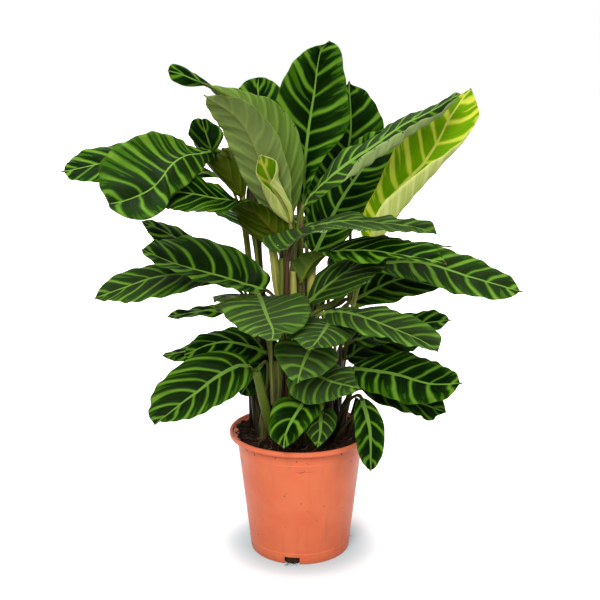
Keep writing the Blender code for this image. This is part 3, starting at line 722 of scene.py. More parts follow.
         spine=((102, 45, 450), (108, 48, 471), (120, 51, 500), (138, 52, 523), (159, 52, 545),
                (178, 52, 565), (197, 49, 596), (209, 46, 623), (219, 44, 640), (230, 42, 657),
                (240, 40, 670)),
         left=((100, 45, 450), (90, 45, 460), (88, 45, 474), (91, 45, 492), (98, 45, 508), (108, 43, 527),
               (115, 42, 541), (120, 41, 557), (130, 40, 577), (142, 40, 600), (158, 40, 618),
               (176, 40, 632), (194, 40, 643), (211, 40, 653), (226, 40, 662), (240, 40, 670)),
         right=((102, 30, 452), (105, 27, 471), (106, 23, 489), (112, 20, 504), (122, 18, 516),
                (133, 17, 526), (144, 15, 536), (156, 17, 547), (169, 18, 556), (183, 20, 567),
                (198, 23, 576), (213, 27, 587), (226, 30, 596), (237, 33, 608), (248, 37, 621),
                (253, 40, 633), (251, 40, 646), (246, 40, 658), (240, 40, 670)),
         rightCrest=((103, 40, 450), (120, 40, 461), (129, 40, 474), (144, 40, 494), (165, 40, 520),
                     (186, 40, 544), (204, 40, 566), (216, 40, 580), (229, 40, 597), (236, 40, 615),
                     (234, 41, 633), (236, 42, 648), (238, 41, 660), (240, 40, 670))),
    dict(name="dark_behind", shoot="rear", dark=0.6, sheath=(0.0046, 0.85), half=0.045,
         faces=((-0.3, -1, 0.4),),
         spine=((21, 60, 431), (65, 80, 515), (136, 100, 610))),
    dict(name="right_mid", shoot="centre", red=0.6, sheath=(0.0055, 0.85),
         spine=((1, -30, 406), (7, -37, 420), (15, -44, 435), (24, -56, 446), (35, -70, 454),
                (50, -84, 460), (72, -100, 464), (97, -116, 466), (122, -129, 464), (146, -141, 462),
                (168, -146, 459), (186, -150, 455)),
         left=((3, -30, 406), (10, -32, 414), (19, -34, 425), (29, -36, 436), (38, -40, 448),
               (51, -44, 462), (63, -50, 469), (81, -58, 473), (101, -65, 476), (117, -74, 480),
               (130, -84, 478), (140, -94, 475), (149, -105, 476), (164, -116, 478), (172, -126, 472),
               (180, -136, 465), (187, -145, 454)),
         right=((0, -30, 406), (-7, -38, 423), (-12, -46, 437), (-3, -57, 449), (12, -71, 456),
                (25, -85, 460), (36, -101, 456), (47, -117, 454), (64, -131, 455), (79, -143, 455),
                (94, -155, 458), (111, -157, 463), (128, -159, 463), (148, -158, 461), (168, -154, 457),
                (186, -150, 455))),
    dict(name="rightmost", shoot="right_rear", slant=((0.5, 0.3), (0.25, 0.25)), dark=0.4, red=0.3,
         sheath=(0.0042, 0.75), bloom=0.12, bandStep=0.026, half=0.043, faces=((0, -0.5, 0.86),), tone=0.56,
         spine=((102, 0, 427), (168, -20, 433), (238, -30, 414), (309, -40, 395))),
    dict(name="mid_right", shoot="front", sheath=(0.005, 0.8), slant=(1.1, 0.6), bloom=0.24,
         spine=((11, -30, 377), (35, -42, 401), (57, -54, 422), (78, -66, 439), (96, -78, 452),
                (116, -90, 460)),
         left=((11, -30, 378), (13, -26, 395), (22, -22, 417), (36, -22, 426), (51, -28, 433),
               (69, -33, 443), (89, -49, 455), (103, -69, 463), (116, -90, 460)),
         right=((13, -30, 377), (25, -52, 381), (38, -75, 390), (56, -94, 398), (69, -105, 409),
                (85, -116, 422), (99, -112, 433), (112, -101, 442), (116, -90, 460))),
    dict(name="under_rightmost", shoot="right_rear", sheath=(0.0042, 0.7),
         spine=((69, 30, 362), (102, 25, 381), (133, 20, 398), (166, 20, 404), (202, 20, 395)),
         left=((69, 30, 363), (70, 40, 380), (85, 50, 400), (115, 60, 411), (147, 47, 417), (182, 33, 412),
               (202, 20, 395)),
         right=((70, 30, 362), (83, 21, 358), (98, 12, 364), (115, 3, 369), (136, -2, 371), (149, -5, 380),
                (163, -8, 381), (182, -7, 388), (200, 2, 392), (207, 11, 396), (202, 20, 395))),
    dict(name="mid_right_lower", shoot="front", bloom=0.35, bandStep=0.021, slant=(0.5, 0.3), tone=0.66,
         spine=((30, -50, 367), (54, -80, 377), (83, -108, 376), (121, -132, 366), (155, -148, 355),
                (177, -160, 343)),
         left=((30, -50, 369), (41, -54, 373), (62, -58, 377), (82, -68, 378), (104, -84, 385),
               (120, -100, 385), (135, -120, 385), (155, -140, 380), (169, -152, 373), (181, -156, 361),
               (177, -160, 343)),
         right=((30, -50, 364), (35, -81, 362), (50, -112, 365), (65, -137, 367), (80, -159, 367),
                (101, -171, 365), (130, -173, 357), (152, -173, 351), (167, -167, 347), (177, -160, 343))),
    dict(name="thin_right", shoot="right_rear", dark=0.6, sheath=(0.004, 0.7), half=0.035,
         faces=((0, 0.2, 1),),
         spine=((67, 85, 420), (149, 85, 442), (226, 75, 439))),
    dict(name="small_right", shoot="right_rear", half=0.034, faces=((0, -0.4, 0.9),),
         spine=((79, 0, 315), (161, -40, 348), (208, -60, 360))),
    dict(name="dark_right", shoot="right_rear", half=0.045, faces=((-0.1, -0.4, 0.9),),
         spine=((68, 8, 286), (108, 3, 312), (177, 0, 319))),
    dict(name="big_right", shoot="right", slant=((0.5, 0.3), (0, 0.25)), pale=0.1, dark=0.3, half=0.042,
         faces=((0, -0.6, 0.8),),
         spine=((73, -40, 285), (127, -80, 289), (176, -100, 281), (216, -120, 288))),
    dict(name="under_big_right", shoot="right",
         spine=((90, 0, 243), (116, -15, 242), (143, -30, 238), (174, -40, 232), (207, -50, 223)),
         left=((90, 0, 246), (117, 3, 254), (146, 0, 255), (180, -15, 252), (200, -32, 244),
               (207, -50, 223)),
         right=((90, 0, 240), (99, -11, 233), (112, -21, 226), (126, -32, 226), (135, -43, 226),
                (144, -51, 223), (156, -54, 224), (163, -58, 221), (170, -61, 222), (174, -64, 219),
                (182, -63, 216), (188, -60, 215), (192, -56, 219), (199, -53, 221), (207, -50, 223))),
    dict(name="hang_front", shoot="right", dark=0.3, half=0.0208, faces=((0.2, -1, 0.2),),
         spine=((85, -80, 254), (95, -105, 217), (97, -110, 161))),
    dict(name="hang_rear", shoot="right", half=0.016, faces=((0.3, -1, 0.2),),
         spine=((90, -50, 222), (100, -76, 195), (98, -90, 150))),
    dict(name="centre_front", shoot="centre_left", pale=0.3, sheath=(0.0042, 0.6),
         slant=((-0.2, 0), (0.05, 0)), tone=0.6, bloom=0.45, bandStep=0.0165,
         spine=((-57, -40, 391), (-50, -85, 387), (-42, -130, 380), (-34, -175, 375), (-34, -220, 373)),
         left=((-54, -40, 389), (-36, -48, 388), (-18, -56, 393), (-4, -64, 400), (7, -77, 397),
               (14, -99, 390), (14, -121, 384), (4, -143, 371), (-12, -163, 367), (-21, -182, 373),
               (-26, -201, 370), (-34, -220, 373)),
         right=((-60, -40, 389), (-83, -52, 386), (-101, -64, 384), (-108, -76, 381), (-98, -96, 370),
                (-85, -120, 367), (-75, -144, 365), (-62, -166, 366), (-54, -184, 371), (-44, -202, 370),
                (-34, -220, 373))),
    dict(name="behind_centre", shoot="centre_left", half=0.028, faces=((0, 0.7, 0.7),),
         spine=((-50, -5, 370), (-80, -25, 373), (-117, -50, 379))),
    dict(name="centre_right", shoot="front", slant=(0.1, 0.1), bloom=0.4, tone=0.55, bandStep=0.0165,
         spine=((43, -60, 361), (34, -120, 364), (23, -170, 362), (11, -200, 355)),
         left=((45, -60, 360), (61, -77, 357), (74, -94, 353), (70, -117, 351), (53, -143, 348),
               (38, -166, 350), (21, -183, 354), (11, -200, 355)),
         right=((40, -60, 361), (11, -77, 367), (-9, -94, 366), (-21, -117, 359), (-13, -143, 356),
                (-4, -166, 358), (4, -183, 355), (11, -200, 355))),
    dict(name="centre_low", shoot="front", slant=(0.1, 0.1), bloom=0.45, tone=0.9, bandStep=0.0155,
         spine=((19, -85, 337), (12, -104, 328), (4, -122, 315), (-1, -139, 304), (-3, -150, 297)),
         left=((22, -85, 337), (38, -92, 334), (50, -98, 325), (51, -110, 317), (38, -125, 308),
               (24, -137, 303), (5, -144, 300), (-3, -150, 297)),
         right=((16, -85, 338), (-7, -91, 344), (-27, -96, 341), (-35, -104, 334), (-33, -118, 325),
                (-25, -131, 314), (-17, -139, 304), (-10, -144, 299), (-3, -150, 297))),
    dict(name="centre_lower", shoot="front", bandStep=0.019, bloom=0.35, slant=(0.15, 0.15), tone=0.7,
         spine=((6, -50, 285), (27, -84, 286), (44, -110, 287), (61, -131, 289), (78, -150, 291)),
         left=((7, -50, 287), (25, -50, 294), (42, -50, 296), (58, -59, 295), (69, -71, 295),
               (74, -90, 293), (74, -120, 292), (78, -150, 291)),
         right=((3, -50, 284), (-11, -61, 283), (-19, -72, 275), (-14, -83, 264), (-4, -94, 256),
                (7, -104, 254), (20, -116, 257), (36, -126, 264), (50, -134, 272), (63, -139, 278),
                (72, -144, 284), (78, -150, 291))),
    dict(name="front_low", shoot="front", sheath=(0.004, 0.6), tone=0.66, yellow=0.35, bandStep=0.03,
         slant=(0.5, 0.3),
         spine=((6, -70, 244), (-4, -85, 234), (-14, -102, 223), (-20, -119, 213), (-22, -130, 200)),
         left=((8, -70, 244), (25, -76, 250), (34, -83, 246), (29, -89, 237), (16, -96, 223),
               (1, -104, 210), (-12, -117, 201), (-22, -130, 200)),
         right=((3, -70, 245), (-18, -76, 253), (-33, -83, 249), (-40, -89, 236), (-45, -96, 215),
                (-40, -104, 206), (-30, -117, 202), (-22, -130, 200))),
    dict(name="front_small", shoot="front", bandStep=0.016, slant=(0.6, 0.3), bloom=0.2,
         spine=((31, -60, 231), (29, -77, 221), (28, -93, 210), (24, -110, 193)),
         left=((34, -60, 231), (45, -68, 234), (51, -76, 225), (49, -86, 214), (38, -98, 202),
               (24, -110, 193)),
         right=((28, -60, 231), (15, -68, 227), (8, -76, 215), (8, -86, 207), (15, -98, 200),
                (24, -110, 193))),
    dict(name="thin_left", shoot="left_rear", dark=0.6, tone=0.75,
         spine=((-110, 12, 356), (-136, 4, 358), (-163, -2, 355), (-190, -5, 351)),
         left=((-110, 12, 352), (-123, -4, 350), (-137, -20, 355), (-153, -20, 354), (-167, -20, 353),
               (-179, -12, 350), (-190, -5, 351)),
         right=((-110, 12, 359), (-124, 15, 364), (-139, 19, 361), (-151, 19, 361), (-164, 19, 357),
                (-174, 15, 358), (-183, 5, 356), (-190, -5, 351))),
    dict(name="left_tier_top", shoot="left_rear", sheath=(0.0044, 0.8),
         spine=((-95, 45, 400), (-131, 40, 428), (-166, 35, 451), (-198, 28, 471), (-226, 20, 485)),
         left=((-95, 45, 399), (-124, 34, 408), (-151, 24, 425), (-179, 14, 442), (-201, 6, 456),
               (-212, 3, 466), (-218, 11, 475), (-226, 20, 485)),
         right=((-95, 45, 402), (-115, 51, 420), (-137, 58, 441), (-161, 59, 460), (-183, 56, 471),
                (-199, 50, 479), (-214, 35, 485), (-226, 20, 485))),
    dict(name="left_tier_middle", shoot="centre_left", tone=0.53, slant=((0.3, 0.2), (0.2, 0.25)), red=0.9,
         sheath=(0.0046, 0.7), bloom=0.05, bandStep=0.026,
         spine=((-48, -22, 394), (-77, -27, 403), (-107, -32, 414), (-131, -37, 422), (-151, -43, 429),
                (-172, -49, 437), (-193, -54, 447), (-214, -60, 458)),
         left=((-48, -30, 394), (-58, -43, 393), (-75, -56, 400), (-98, -66, 408), (-122, -72, 414),
               (-141, -77, 421), (-161, -80, 428), (-177, -80, 434), (-190, -80, 440), (-201, -74, 448),
               (-211, -67, 452), (-214, -60, 458)),
         right=((-48, -10, 393), (-41, -1, 402), (-43, 8, 411), (-55, 18, 418), (-68, 20, 428),
                (-90, 20, 444), (-114, 20, 455), (-138, 17, 461), (-156, 11, 464), (-174, 5, 464),
                (-190, -5, 464), (-200, -23, 464), (-208, -42, 462), (-214, -60, 458))),
    dict(name="left_tier_low", shoot="left_rear", bandStep=0.028, dark=0.5, red=0.5, sheath=(0.004, 0.7),
         bloom=0.2, tone=0.6,
         spine=((-95, 30, 387), (-127, 17, 401), (-157, 4, 410), (-182, -9, 413), (-210, -21, 410),
                (-238, -33, 402), (-263, -41, 394), (-283, -50, 388)),
         left=((-95, 30, 386), (-108, 10, 391), (-122, -10, 400), (-138, -28, 399), (-160, -44, 396),
               (-184, -60, 394), (-204, -68, 391), (-220, -76, 388), (-238, -74, 389), (-266, -62, 387),
               (-283, -50, 388)),
         right=((-95, 30, 389), (-109, 30, 402), (-130, 30, 415), (-158, 23, 425), (-186, 14, 426),
                (-219, 3, 425), (-241, -10, 419), (-263, -23, 413), (-276, -37, 402), (-283, -50, 388))),
    dict(name="low_left", shoot="left", bloom=0.06, bandStep=0.0235, neck=0.014,
         spine=((-69, -60, 293), (-85, -71, 297), (-101, -83, 293), (-122, -94, 282), (-135, -106, 274),
                (-156, -117, 261), (-173, -129, 250), (-193, -140, 237)),
         left=((-68, -60, 291), (-66, -78, 286), (-71, -96, 279), (-83, -110, 272), (-99, -120, 263),
               (-120, -130, 254), (-138, -138, 248), (-158, -146, 244), (-176, -148, 244),
               (-186, -144, 243), (-193, -140, 237)),
         right=((-69, -60, 296), (-75, -58, 306), (-89, -56, 313), (-108, -59, 317), (-130, -65, 315),
                (-151, -72, 308), (-167, -80, 300), (-181, -88, 291), (-191, -97, 281), (-199, -105, 268),
                (-202, -115, 257), (-202, -128, 247), (-193, -140, 237))),
    dict(name="behind_low_left", shoot="left", dark=0.4,
         spine=((-46, -10, 298), (-78, -22, 314), (-106, -34, 322), (-132, -48, 320), (-160, -62, 310)),
         left=((-46, -10, 296), (-70, -40, 291), (-97, -64, 295), (-124, -76, 299), (-144, -73, 302),
               (-160, -62, 310)),
         right=((-46, -10, 300), (-65, 1, 318), (-87, 9, 329), (-108, 3, 332), (-129, -9, 330),
                (-147, -26, 325), (-157, -44, 320), (-160, -62, 310))),
    dict(name="tip_left", shoot="left_rear",
         spine=((-123, 10, 297), (-144, 0, 302), (-170, -8, 300), (-197, -15, 296)),
         left=((-123, 10, 295), (-144, -6, 290), (-163, -22, 289), (-176, -27, 291), (-188, -21, 293),
               (-197, -15, 296)),
         right=((-123, 10, 298), (-141, 10, 310), (-160, 10, 307), (-175, 10, 300), (-187, 2, 299),
                (-194, -7, 298), (-197, -15, 296))),
    dict(name="under_low_left", shoot="left", half=0.02, faces=((0, -1, 0.5),),
         spine=((-55, -10, 282), (-73, -15, 258), (-86, -15, 237))),
    dict(name="rear_high", shoot="rear", half=0.045, faces=((0, 0.3, 1),),
         spine=((10, 110, 430), (15, 190, 465), (5, 275, 450))),
    dict(name="rear_left_high", shoot="rear", half=0.046, faces=((-0.1, 0.3, 1),),
         spine=((-40, 100, 440), (-110, 170, 480), (-170, 235, 470))),
    dict(name="rear_left_low", shoot="rear", half=0.045, faces=((-0.2, 0.4, 1),),
         spine=((-40, 90, 342), (-85, 135, 352), (-125, 180, 330))),
    dict(name="rear_low", shoot="rear", half=0.045, faces=((0, 0.5, 1),),
         spine=((0, 100, 310), (-5, 165, 340), (-10, 240, 320))),
    dict(name="rear_right_high", shoot="rear", half=0.046, faces=((0.2, 0.3, 1),),
         spine=((50, 110, 400), (110, 170, 430), (170, 220, 410))),
    dict(name="rear_right_low", shoot="right_rear", half=0.042, faces=((0.2, 0.4, 1),),
         spine=((65, 75, 290), (110, 130, 320), (160, 190, 300))),
    dict(name="rear_foot", shoot="rear", half=0.034, faces=((0.1, 0.8, 0.6),),
         spine=((20, 85, 235), (30, 125, 240), (35, 175, 215))),
]

# Where each shoot's crown stands in the pot: x and y in metres.
shoots = {
    "left": (-0.053, -0.014),
    "left_rear": (-0.056, 0.012),
    "centre_left": (-0.024, -0.018),
    "centre": (-0.004, 0.012),
    "front": (0.014, -0.040),
    "right": (0.046, -0.022),
    "right_rear": (0.046, 0.020),
    "rear": (0.006, 0.052),
}

soilTop = 0.170

stalk = dict(
    samples=60,
    rows=34,
    sides=12,
    mapStep=3.1,  # how far apart two stalks' maps lie
    topRadius=0.0021,
    kneeRadius=0.0027,  # the swollen knee under the blade
    kneeLength=0.016,
    kneeStart=1.6,  # knee lengths below the blade at which the swelling starts
    intoBlade=0.004,  # how far the stalk goes on inside the blade
    sheath=(0.0058, 0.42),  # its radius, and the share of the stalk that it covers
    sheathFull=0.45,  # the share of that reach over which it keeps its width
    taper=0.25,  # the share of the widening that fades evenly up the whole stalk
    flatten=0.22,
    spread=0.007,  # how far from the middle of the crown the stalks start
    firstAngle=0.4,
    lean=(0.2, 0.2, 0.5),  # how far towards the blade the stalk's lower bend stands, in x, y and z
    neck=0.045,
    neckShare=0.35,  # the neck's longest, as a share of the height
    footDepth=0.004,
    oldRows=24,  # the old sheaths' own values
    oldFlatten=0.16,
    oldTwist=1.3,
)

# Stems and old sheaths that stand among the stalks, each with its path and its radii from the bottom up,
# in millimetres; the thick dark ones are partly painted shade, standing in for the deep shade among the
# stalks.
sheaths = [
    dict(shoot="left", radii=(5, 6.4, 5.4), pale=-0.1, red=0, dark=-0.45,
         path=((-41, -10, 171), (-50, -45, 232), (-60, -68, 287))),
    dict(shoot="left_rear", radii=(5.6, 5.2, 4.6), dark=0.9, red=0.6,
         path=((-70, 40, 172), (-71, 15, 248), (-74, 0, 300))),
    dict(shoot="left_rear", radii=(5.2, 4.8, 4.2), dark=0.6, red=0.3,
         path=((-60, 45, 172), (-61, 10, 257), (-65, -5, 309))),
    dict(shoot="centre_left", radii=(7, 7, 6), dark=1, red=0.6,
         path=((-50, 50, 172), (-50, 15, 250), (-54, 15, 319))),
    dict(shoot="centre_left", radii=(7, 7, 6), dark=1, red=0.4,
         path=((-37, 50, 172), (-38, 20, 249), (-41, 20, 318), (-42, 20, 348))),
    dict(shoot="centre", radii=(7, 7, 6), dark=1, red=0.5,
         path=((-18, 50, 172), (-19, 20, 249), (-23, 20, 318), (-26, 20, 348))),
    dict(shoot="front", radii=(2.7, 2.6, 2.6, 2.4), pale=0.25, red=0.35,
         path=((-38, -60, 237), (-40, -60, 288), (-41, -60, 330), (-47, -60, 357))),
    dict(shoot="front", radii=(6, 5.8, 4.8), pale=0.15, red=0.1,
         path=((-34, -45, 228), (-31, -45, 262), (-32, -45, 296))),
    dict(shoot="right", radii=(6.4, 5.8, 4.8), dark=0.25, red=0.1,
         path=((57, -23, 170), (62, -30, 204), (71, -30, 245))),
    dict(shoot="right", radii=(4.8, 4.2, 3.4), dark=0.5, red=0.3,
         path=((68, -19, 170), (75, -20, 204), (82, -20, 234))),
    dict(shoot="front", radii=(3.8, 3.6, 3), red=1, path=((46, 23, 170), (44, -35, 218), (43, -35, 239))),
    dict(shoot="right", radii=(7, 6.6, 5), dark=1, red=0.5,
         path=((33, 23, 170), (35, 0, 217), (39, 0, 300))),
    dict(shoot="right_rear", radii=(7, 6.4, 4.8), dark=1, red=0.3,
         path=((54, 14, 170), (56, 5, 215), (60, 5, 299))),
    dict(shoot="centre", radii=(2.8, 2.7, 2.4), pale=0.5, red=0.1,
         path=((49, -20, 276), (50, -20, 316), (50, -20, 343))),
    dict(shoot="right", radii=(2.4, 2.3, 2.2), red=0.95,
         path=((58, -20, 276), (58, -20, 316), (60, -20, 343))),
    dict(shoot="centre_left", radii=(4.4, 6, 6.6, 6.2, 4), pale=0.45, red=0.3,
         path=((-28, -40, 378), (-32, -41, 405), (-35, -42, 438), (-38, -44, 456), (-44, -45, 471))),
    dict(shoot="centre_left", radii=(4, 3.8, 3), pale=0.05, red=0,
         path=((-26, -52, 381), (-25, -52, 414), (-25, -52, 444))),
    dict(shoot="centre", radii=(4.8, 4.6, 4, 3.6, 3.2, 2.8), red=0.85,
         path=((-19, -50, 380), (-18, -50, 421), (-16, -50, 446), (-11, -50, 464), (-4, -50, 479),
               (5, -50, 491))),
    dict(shoot="centre", radii=(6.6, 6.6, 5), pale=0.9, red=0,
         path=((-10, -40, 378), (-10, -40, 400), (-10, -40, 424))),
    dict(shoot="centre", radii=(3.4, 3), red=0.7, path=((0, -40, 378), (1, -40, 405))),
    dict(shoot="front", radii=(7, 7, 5.6), pale=0.75, red=0.15,
         path=((16, -20, 376), (16, -20, 405), (18, -20, 428))),
    dict(shoot="centre", radii=(8, 9.5, 8, 1), dark=0.7, red=0.1,
         path=((-22, 0, 360), (-23, 0, 418), (-22, 0, 448), (-20, 0, 475))),
    dict(shoot="centre", radii=(8, 9.5, 8.5, 1), dark=0.5, red=0,
         path=((-5, 10, 358), (-5, 10, 416), (-2, 10, 449), (2, 10, 475))),
    dict(shoot="rear", radii=(7, 6.5, 5, 1), dark=0.45, red=0,
         path=((7, 30, 353), (9, 30, 405), (10, 30, 436), (12, 30, 456))),
    dict(shoot="left_rear", radii=(4.4, 4.2, 4.2, 5.4, 5.4, 1), dark=0.7, red=0.1,
         path=((-53, 35, 352), (-58, 35, 411), (-62, 36, 467), (-65, 38, 496), (-67, 40, 520),
               (-69, 44, 547))),
    dict(shoot="right_rear", radii=(3.6, 3.6, 3.4), pale=0.85, red=0.3,
         path=((73, -30, 364), (77, -30, 386), (85, -30, 411))),
    dict(shoot="right_rear", radii=(2.4, 2.2), dark=0.7, red=0.5, path=((72, 20, 451), (72, 20, 478))),
    dict(shoot="left_rear", radii=(3.4, 3.4, 3.6, 4.8, 4.8, 1), dark=0.7, red=0.1,
         path=((-56, 46, 370), (-62, 46, 425), (-67, 46, 466), (-71, 46, 495), (-73, 46, 519),
               (-73, 46, 547))),
    dict(shoot="centre", radii=(4.4, 4.2, 3.6, 1), dark=0.35, red=0,
         path=((1, 20, 464), (0, 25, 489), (-1, 30, 510), (-4, 35, 534))),
    dict(shoot="front", radii=(2.6, 4.6, 5, 2.6), pale=0.1, red=0.15,
         path=((11, -20, 353), (29, -30, 368), (46, -40, 379), (64, -45, 393))),
    dict(shoot="right_rear", radii=(3, 5.6, 6, 2.4), dark=0.75, red=0.1,
         path=((32, 10, 346), (45, 10, 362), (58, 8, 370), (70, 6, 376))),
]


def bezier(controls, count):
    share = np.linspace(0, 1, count)[:, None]
    rest = 1 - share
    weights = np.hstack((rest ** 3, 3 * rest ** 2 * share, 3 * rest * share ** 2, share ** 3))
    return weights @ np.array(controls)


def tube(path, radii, sides, squash=0.0, twist=0.0, lastDirection=None):
    # a round or flattened ring carried along the path and closed at both ends; squash is the share that the
    # ring loses across, and it and the radii are one value or one for each row
    direction = unit(np.gradient(path, axis=0))
    if lastDirection is not None:
        direction[-1] = lastDirection
    # the ring is laid out from a level line, which the small push keeps off zero where the path is upright
    level = unit(np.cross(up, path[-1] - path[0] + (0.013, 0.007, 0)))
    other = unit(np.cross(direction, level))
    level = np.cross(other, direction)
    radii, squash = (np.broadcast_to(values, len(path))[:, None] for values in (radii, squash))
    turn = np.arange(sides) * 2 * np.pi / sides + twist
    x = np.cos(turn) * (1 + squash)
    y = np.sin(turn) * (1 - squash)
    ring = x[..., None] * level[:, None, :] + y[..., None] * other[:, None, :]
    places = path[:, None, :] + ring * radii[..., None]
    first = np.arange(sides)
    last = first + (len(path) - 1) * sides
    count = len(path) * sides
    caps = np.vstack((np.stack((np.roll(first, -1), first, np.full(sides, count)), axis=1),
                      np.stack((last, np.roll(last, -1), np.full(sides, count + 1)), axis=1)))
    return np.vstack((places.reshape(-1, 3), path[[0, -1]])), gridFaces(len(path), sides, wrap=True), caps


def stalkPart(row, number, path, radii, squash, **way):
    # the tube, with a map that has a place on a circle for each side, so that streaks run along the stalk
    # without a seam, and a look that holds how red, dark and pale it is
    places, quads, caps = tube(path, radii, stalk["sides"], squash, **way)
    angle = np.arange(stalk["sides"]) * 2 * np.pi / stalk["sides"]
    circle = np.stack((np.cos(angle), np.sin(angle)), axis=1)
    ring = np.vstack((np.tile(circle, (len(path), 1)), np.zeros((2, 2)))) + (stalk["mapStep"] * number, 0)
    look = (row.get("red", 0.25), row.get("dark", 0.15), row.get("pale", 0.2), 1)
    return places, quads, caps, ring, np.tile(look, (len(places), 1))


def stalkShape(leaf, start, number):
    # a stalk rises from the crown, leans over to its blade and runs into it the way that the midrib starts
    spine = curve(leaf, "spine", stalk["samples"])[0]
    heading = unit(spine[1] - spine[0])
    end = spine[0] + stalk["intoBlade"] * heading
    neck = min(leaf.get("neck", stalk["neck"]), stalk["neckShare"] * (end[2] - start[2]))
    path = bezier((start, start + (end - start) * stalk["lean"], end - neck * heading, end), stalk["rows"])
    share = np.linspace(0, 1, stalk["rows"])
    wide, reach = leaf.get("sheath", stalk["sheath"])
    sheath = 1 - ease(share, stalk["sheathFull"] * reach, reach)
    widening = stalk["taper"] * (1 - share) ** 2 + (1 - stalk["taper"]) * sheath
    kneeShare = stalk["kneeLength"] / np.linalg.norm(end - start)
    knee = ease(share, 1 - stalk["kneeStart"] * kneeShare, 1 - kneeShare)
    radii = (stalk["topRadius"] + (wide - stalk["topRadius"]) * widening
             + (stalk["kneeRadius"] - stalk["topRadius"]) * knee)
    return stalkPart(leaf, number, path, radii, stalk["flatten"] * sheath, lastDirection=heading)


def sheathShape(row, number):
    path = curve(row, "path", stalk["oldRows"])[0]
    radii = 0.001 * along(row["radii"], np.linspace(0, 1, len(path)))
    return stalkPart(row, number, path, radii, stalk["oldFlatten"], twist=stalk["oldTwist"] * number)


stalkFinish = dict(
    roughness=0.42,
    shine=0.1,
    streaks=(2.2, 2.2, 9.0),  # noise scales for the map's two axes and for Z
    patches=(60.0, 60.0, 16.0),  # and for X, Y and Z
    # where each colour starts to show and where it is full
    paleEdge=(0.35, 0.85),
    redEdge=(0.15, 0.85),
    stainAndShadeEdge=(0.6, 1.2),
    foot=(0.18, 0.35, 0.75, 0.0),  # from where to where the painted shade low on the stalks fades, and from what to what
    green=(98, 116, 38),
    pale=(190, 188, 96),
    red=(90, 62, 42),
    dark=(44, 36, 20),
)


def makeStalkMaterial():
    material, tree, sockets = newMaterial("stalk_skin", stalkFinish["roughness"], stalkFinish["shine"])
    green, pale, red, dark = (srgb(*stalkFinish[key]) for key in ("green", "pale", "red", "dark"))
    redness, darkness, paleness = lookOf(tree)[:3]
    x, y, z = split(objectPlace(tree))
    streaks = drawnNoise((*uvMap(tree, "stalk"), z), stalkFinish["streaks"])
    patches = drawnNoise((x, y, z), stalkFinish["patches"])
    colour = mix(step(line(paleness, 0.6, streaks - 0.12), *stalkFinish["paleEdge"]), green, pale)
    inRed = line(redness, 1.3, -0.55) + patches * 0.7
    colour = mix(step(inRed, *stalkFinish["redEdge"]), colour, red)
    # dark patches: stains along the streaks and patches, thickened low down by painted shade among the
    # stalks and by each stalk's own darkness, which is partly painted shade too
    foot = step(z, *stalkFinish["foot"]) + darkness * 1.3
    stainAndShade = step(patches + streaks + darkness, *stalkFinish["stainAndShadeEdge"])
    colour = mix(foot * stainAndShade, colour, dark)
    feed(sockets["Base Color"], colour)
    feed(sockets["Roughness"], line(streaks, 0.25, 0.30))
    bump(sockets, streaks, 0.3, 0.0006)
    return material


def makeStalks(material):
    for name, (x, y) in shoots.items():
        members = [leaf for leaf in leaves if leaf["shoot"] == name]
        parts = []
        for number, leaf in enumerate(members):
            angle = stalk["firstAngle"] + number * 2 * math.pi / len(members)
            start = np.array((x + stalk["spread"] * math.cos(angle), y + stalk["spread"] * math.sin(angle),
                              soilTop - stalk["footDepth"]))
            parts.append(stalkShape(leaf, start, number))
        parts += [sheathShape(row, number) for number, row in enumerate(sheaths) if row["shoot"] == name]
        places, quads, caps, maps, looks = joined(parts, faceColumns=(1, 2))
        item = makeMesh("stalks_" + name, places, (quads, caps), [material], maps={"stalk": maps},
                        looks=looks)
        place(item, "stalk_green", "shoot_" + name)


pot = dict(
    height=0.182,
    baseRadius=0.073,
    wallRadius=0.0925,
    lipRadius=0.1035,
    lipHeight=0.007,
    wall=0.003,
    floor=0.004,
    segments=192,
    rowHeight=0.012,  # the wall's rows stand no more than twice this far apart
    ringHeight=0.157,
    bandHeight=0.0175,
    line=0.00035,  # depth of the two fine lines round the wall
    outOfRound=0.0022,  # how far the top is from round, as a share of its radius
    sharpAngle=math.radians(38),
    notches=3,
    notchWidth=0.022,
    notchHeight=0.0115,
    notchDepth=0.030,
    notchFirst=math.radians(-99),
    roughness=0.42,
    shine=0.28,
    # noises: the scale, or one for each axis, the detail and the roughness
    cloud=(22.0, 4.0, 0.55),
    fine=(420.0, 2.0, 0.5),
    speck=(160.0, 1.0, 0.4),
    upright=((90.0, 90.0, 9.0), 3.0, 0.5),
    level=((34.0, 34.0, 260.0), 2.0, 0.7),
    # how strongly the dust, the specks, the fine scratches and the strokes show
    strengths=(0.35, 0.75, 0.35, 0.7),
    colour=(252, 131, 86),
    fadedColour=(246, 120, 79),
    dustColour=(212, 112, 84),
    footColour=(176, 84, 58),
    dirt=(60, 38, 28),
    # x and z of the middle, half length, slope, bend, half thickness
    scratches=(
        (0.0030, 0.1480, 0.0052, 0.30, 60.0, 0.00028),
        (0.0105, 0.1615, 0.0026, -0.35, 0.0, 0.00022),
        (0.0075, 0.1485, 0.0180, 0.00, 1.5, 0.00008),
        (-0.020, 0.1130, 0.0040, 0.60, 0.0, 0.00010),
        (0.0340, 0.0920, 0.0020, -0.50, 0.0, 0.00022),
        (0.0110, 0.0860, 0.0034, -0.80, 90.0, 0.00012),
    ),
)


def notchAngles():
    return [pot["notchFirst"] + number * 2 * math.pi / pot["notches"] for number in range(pot["notches"])]


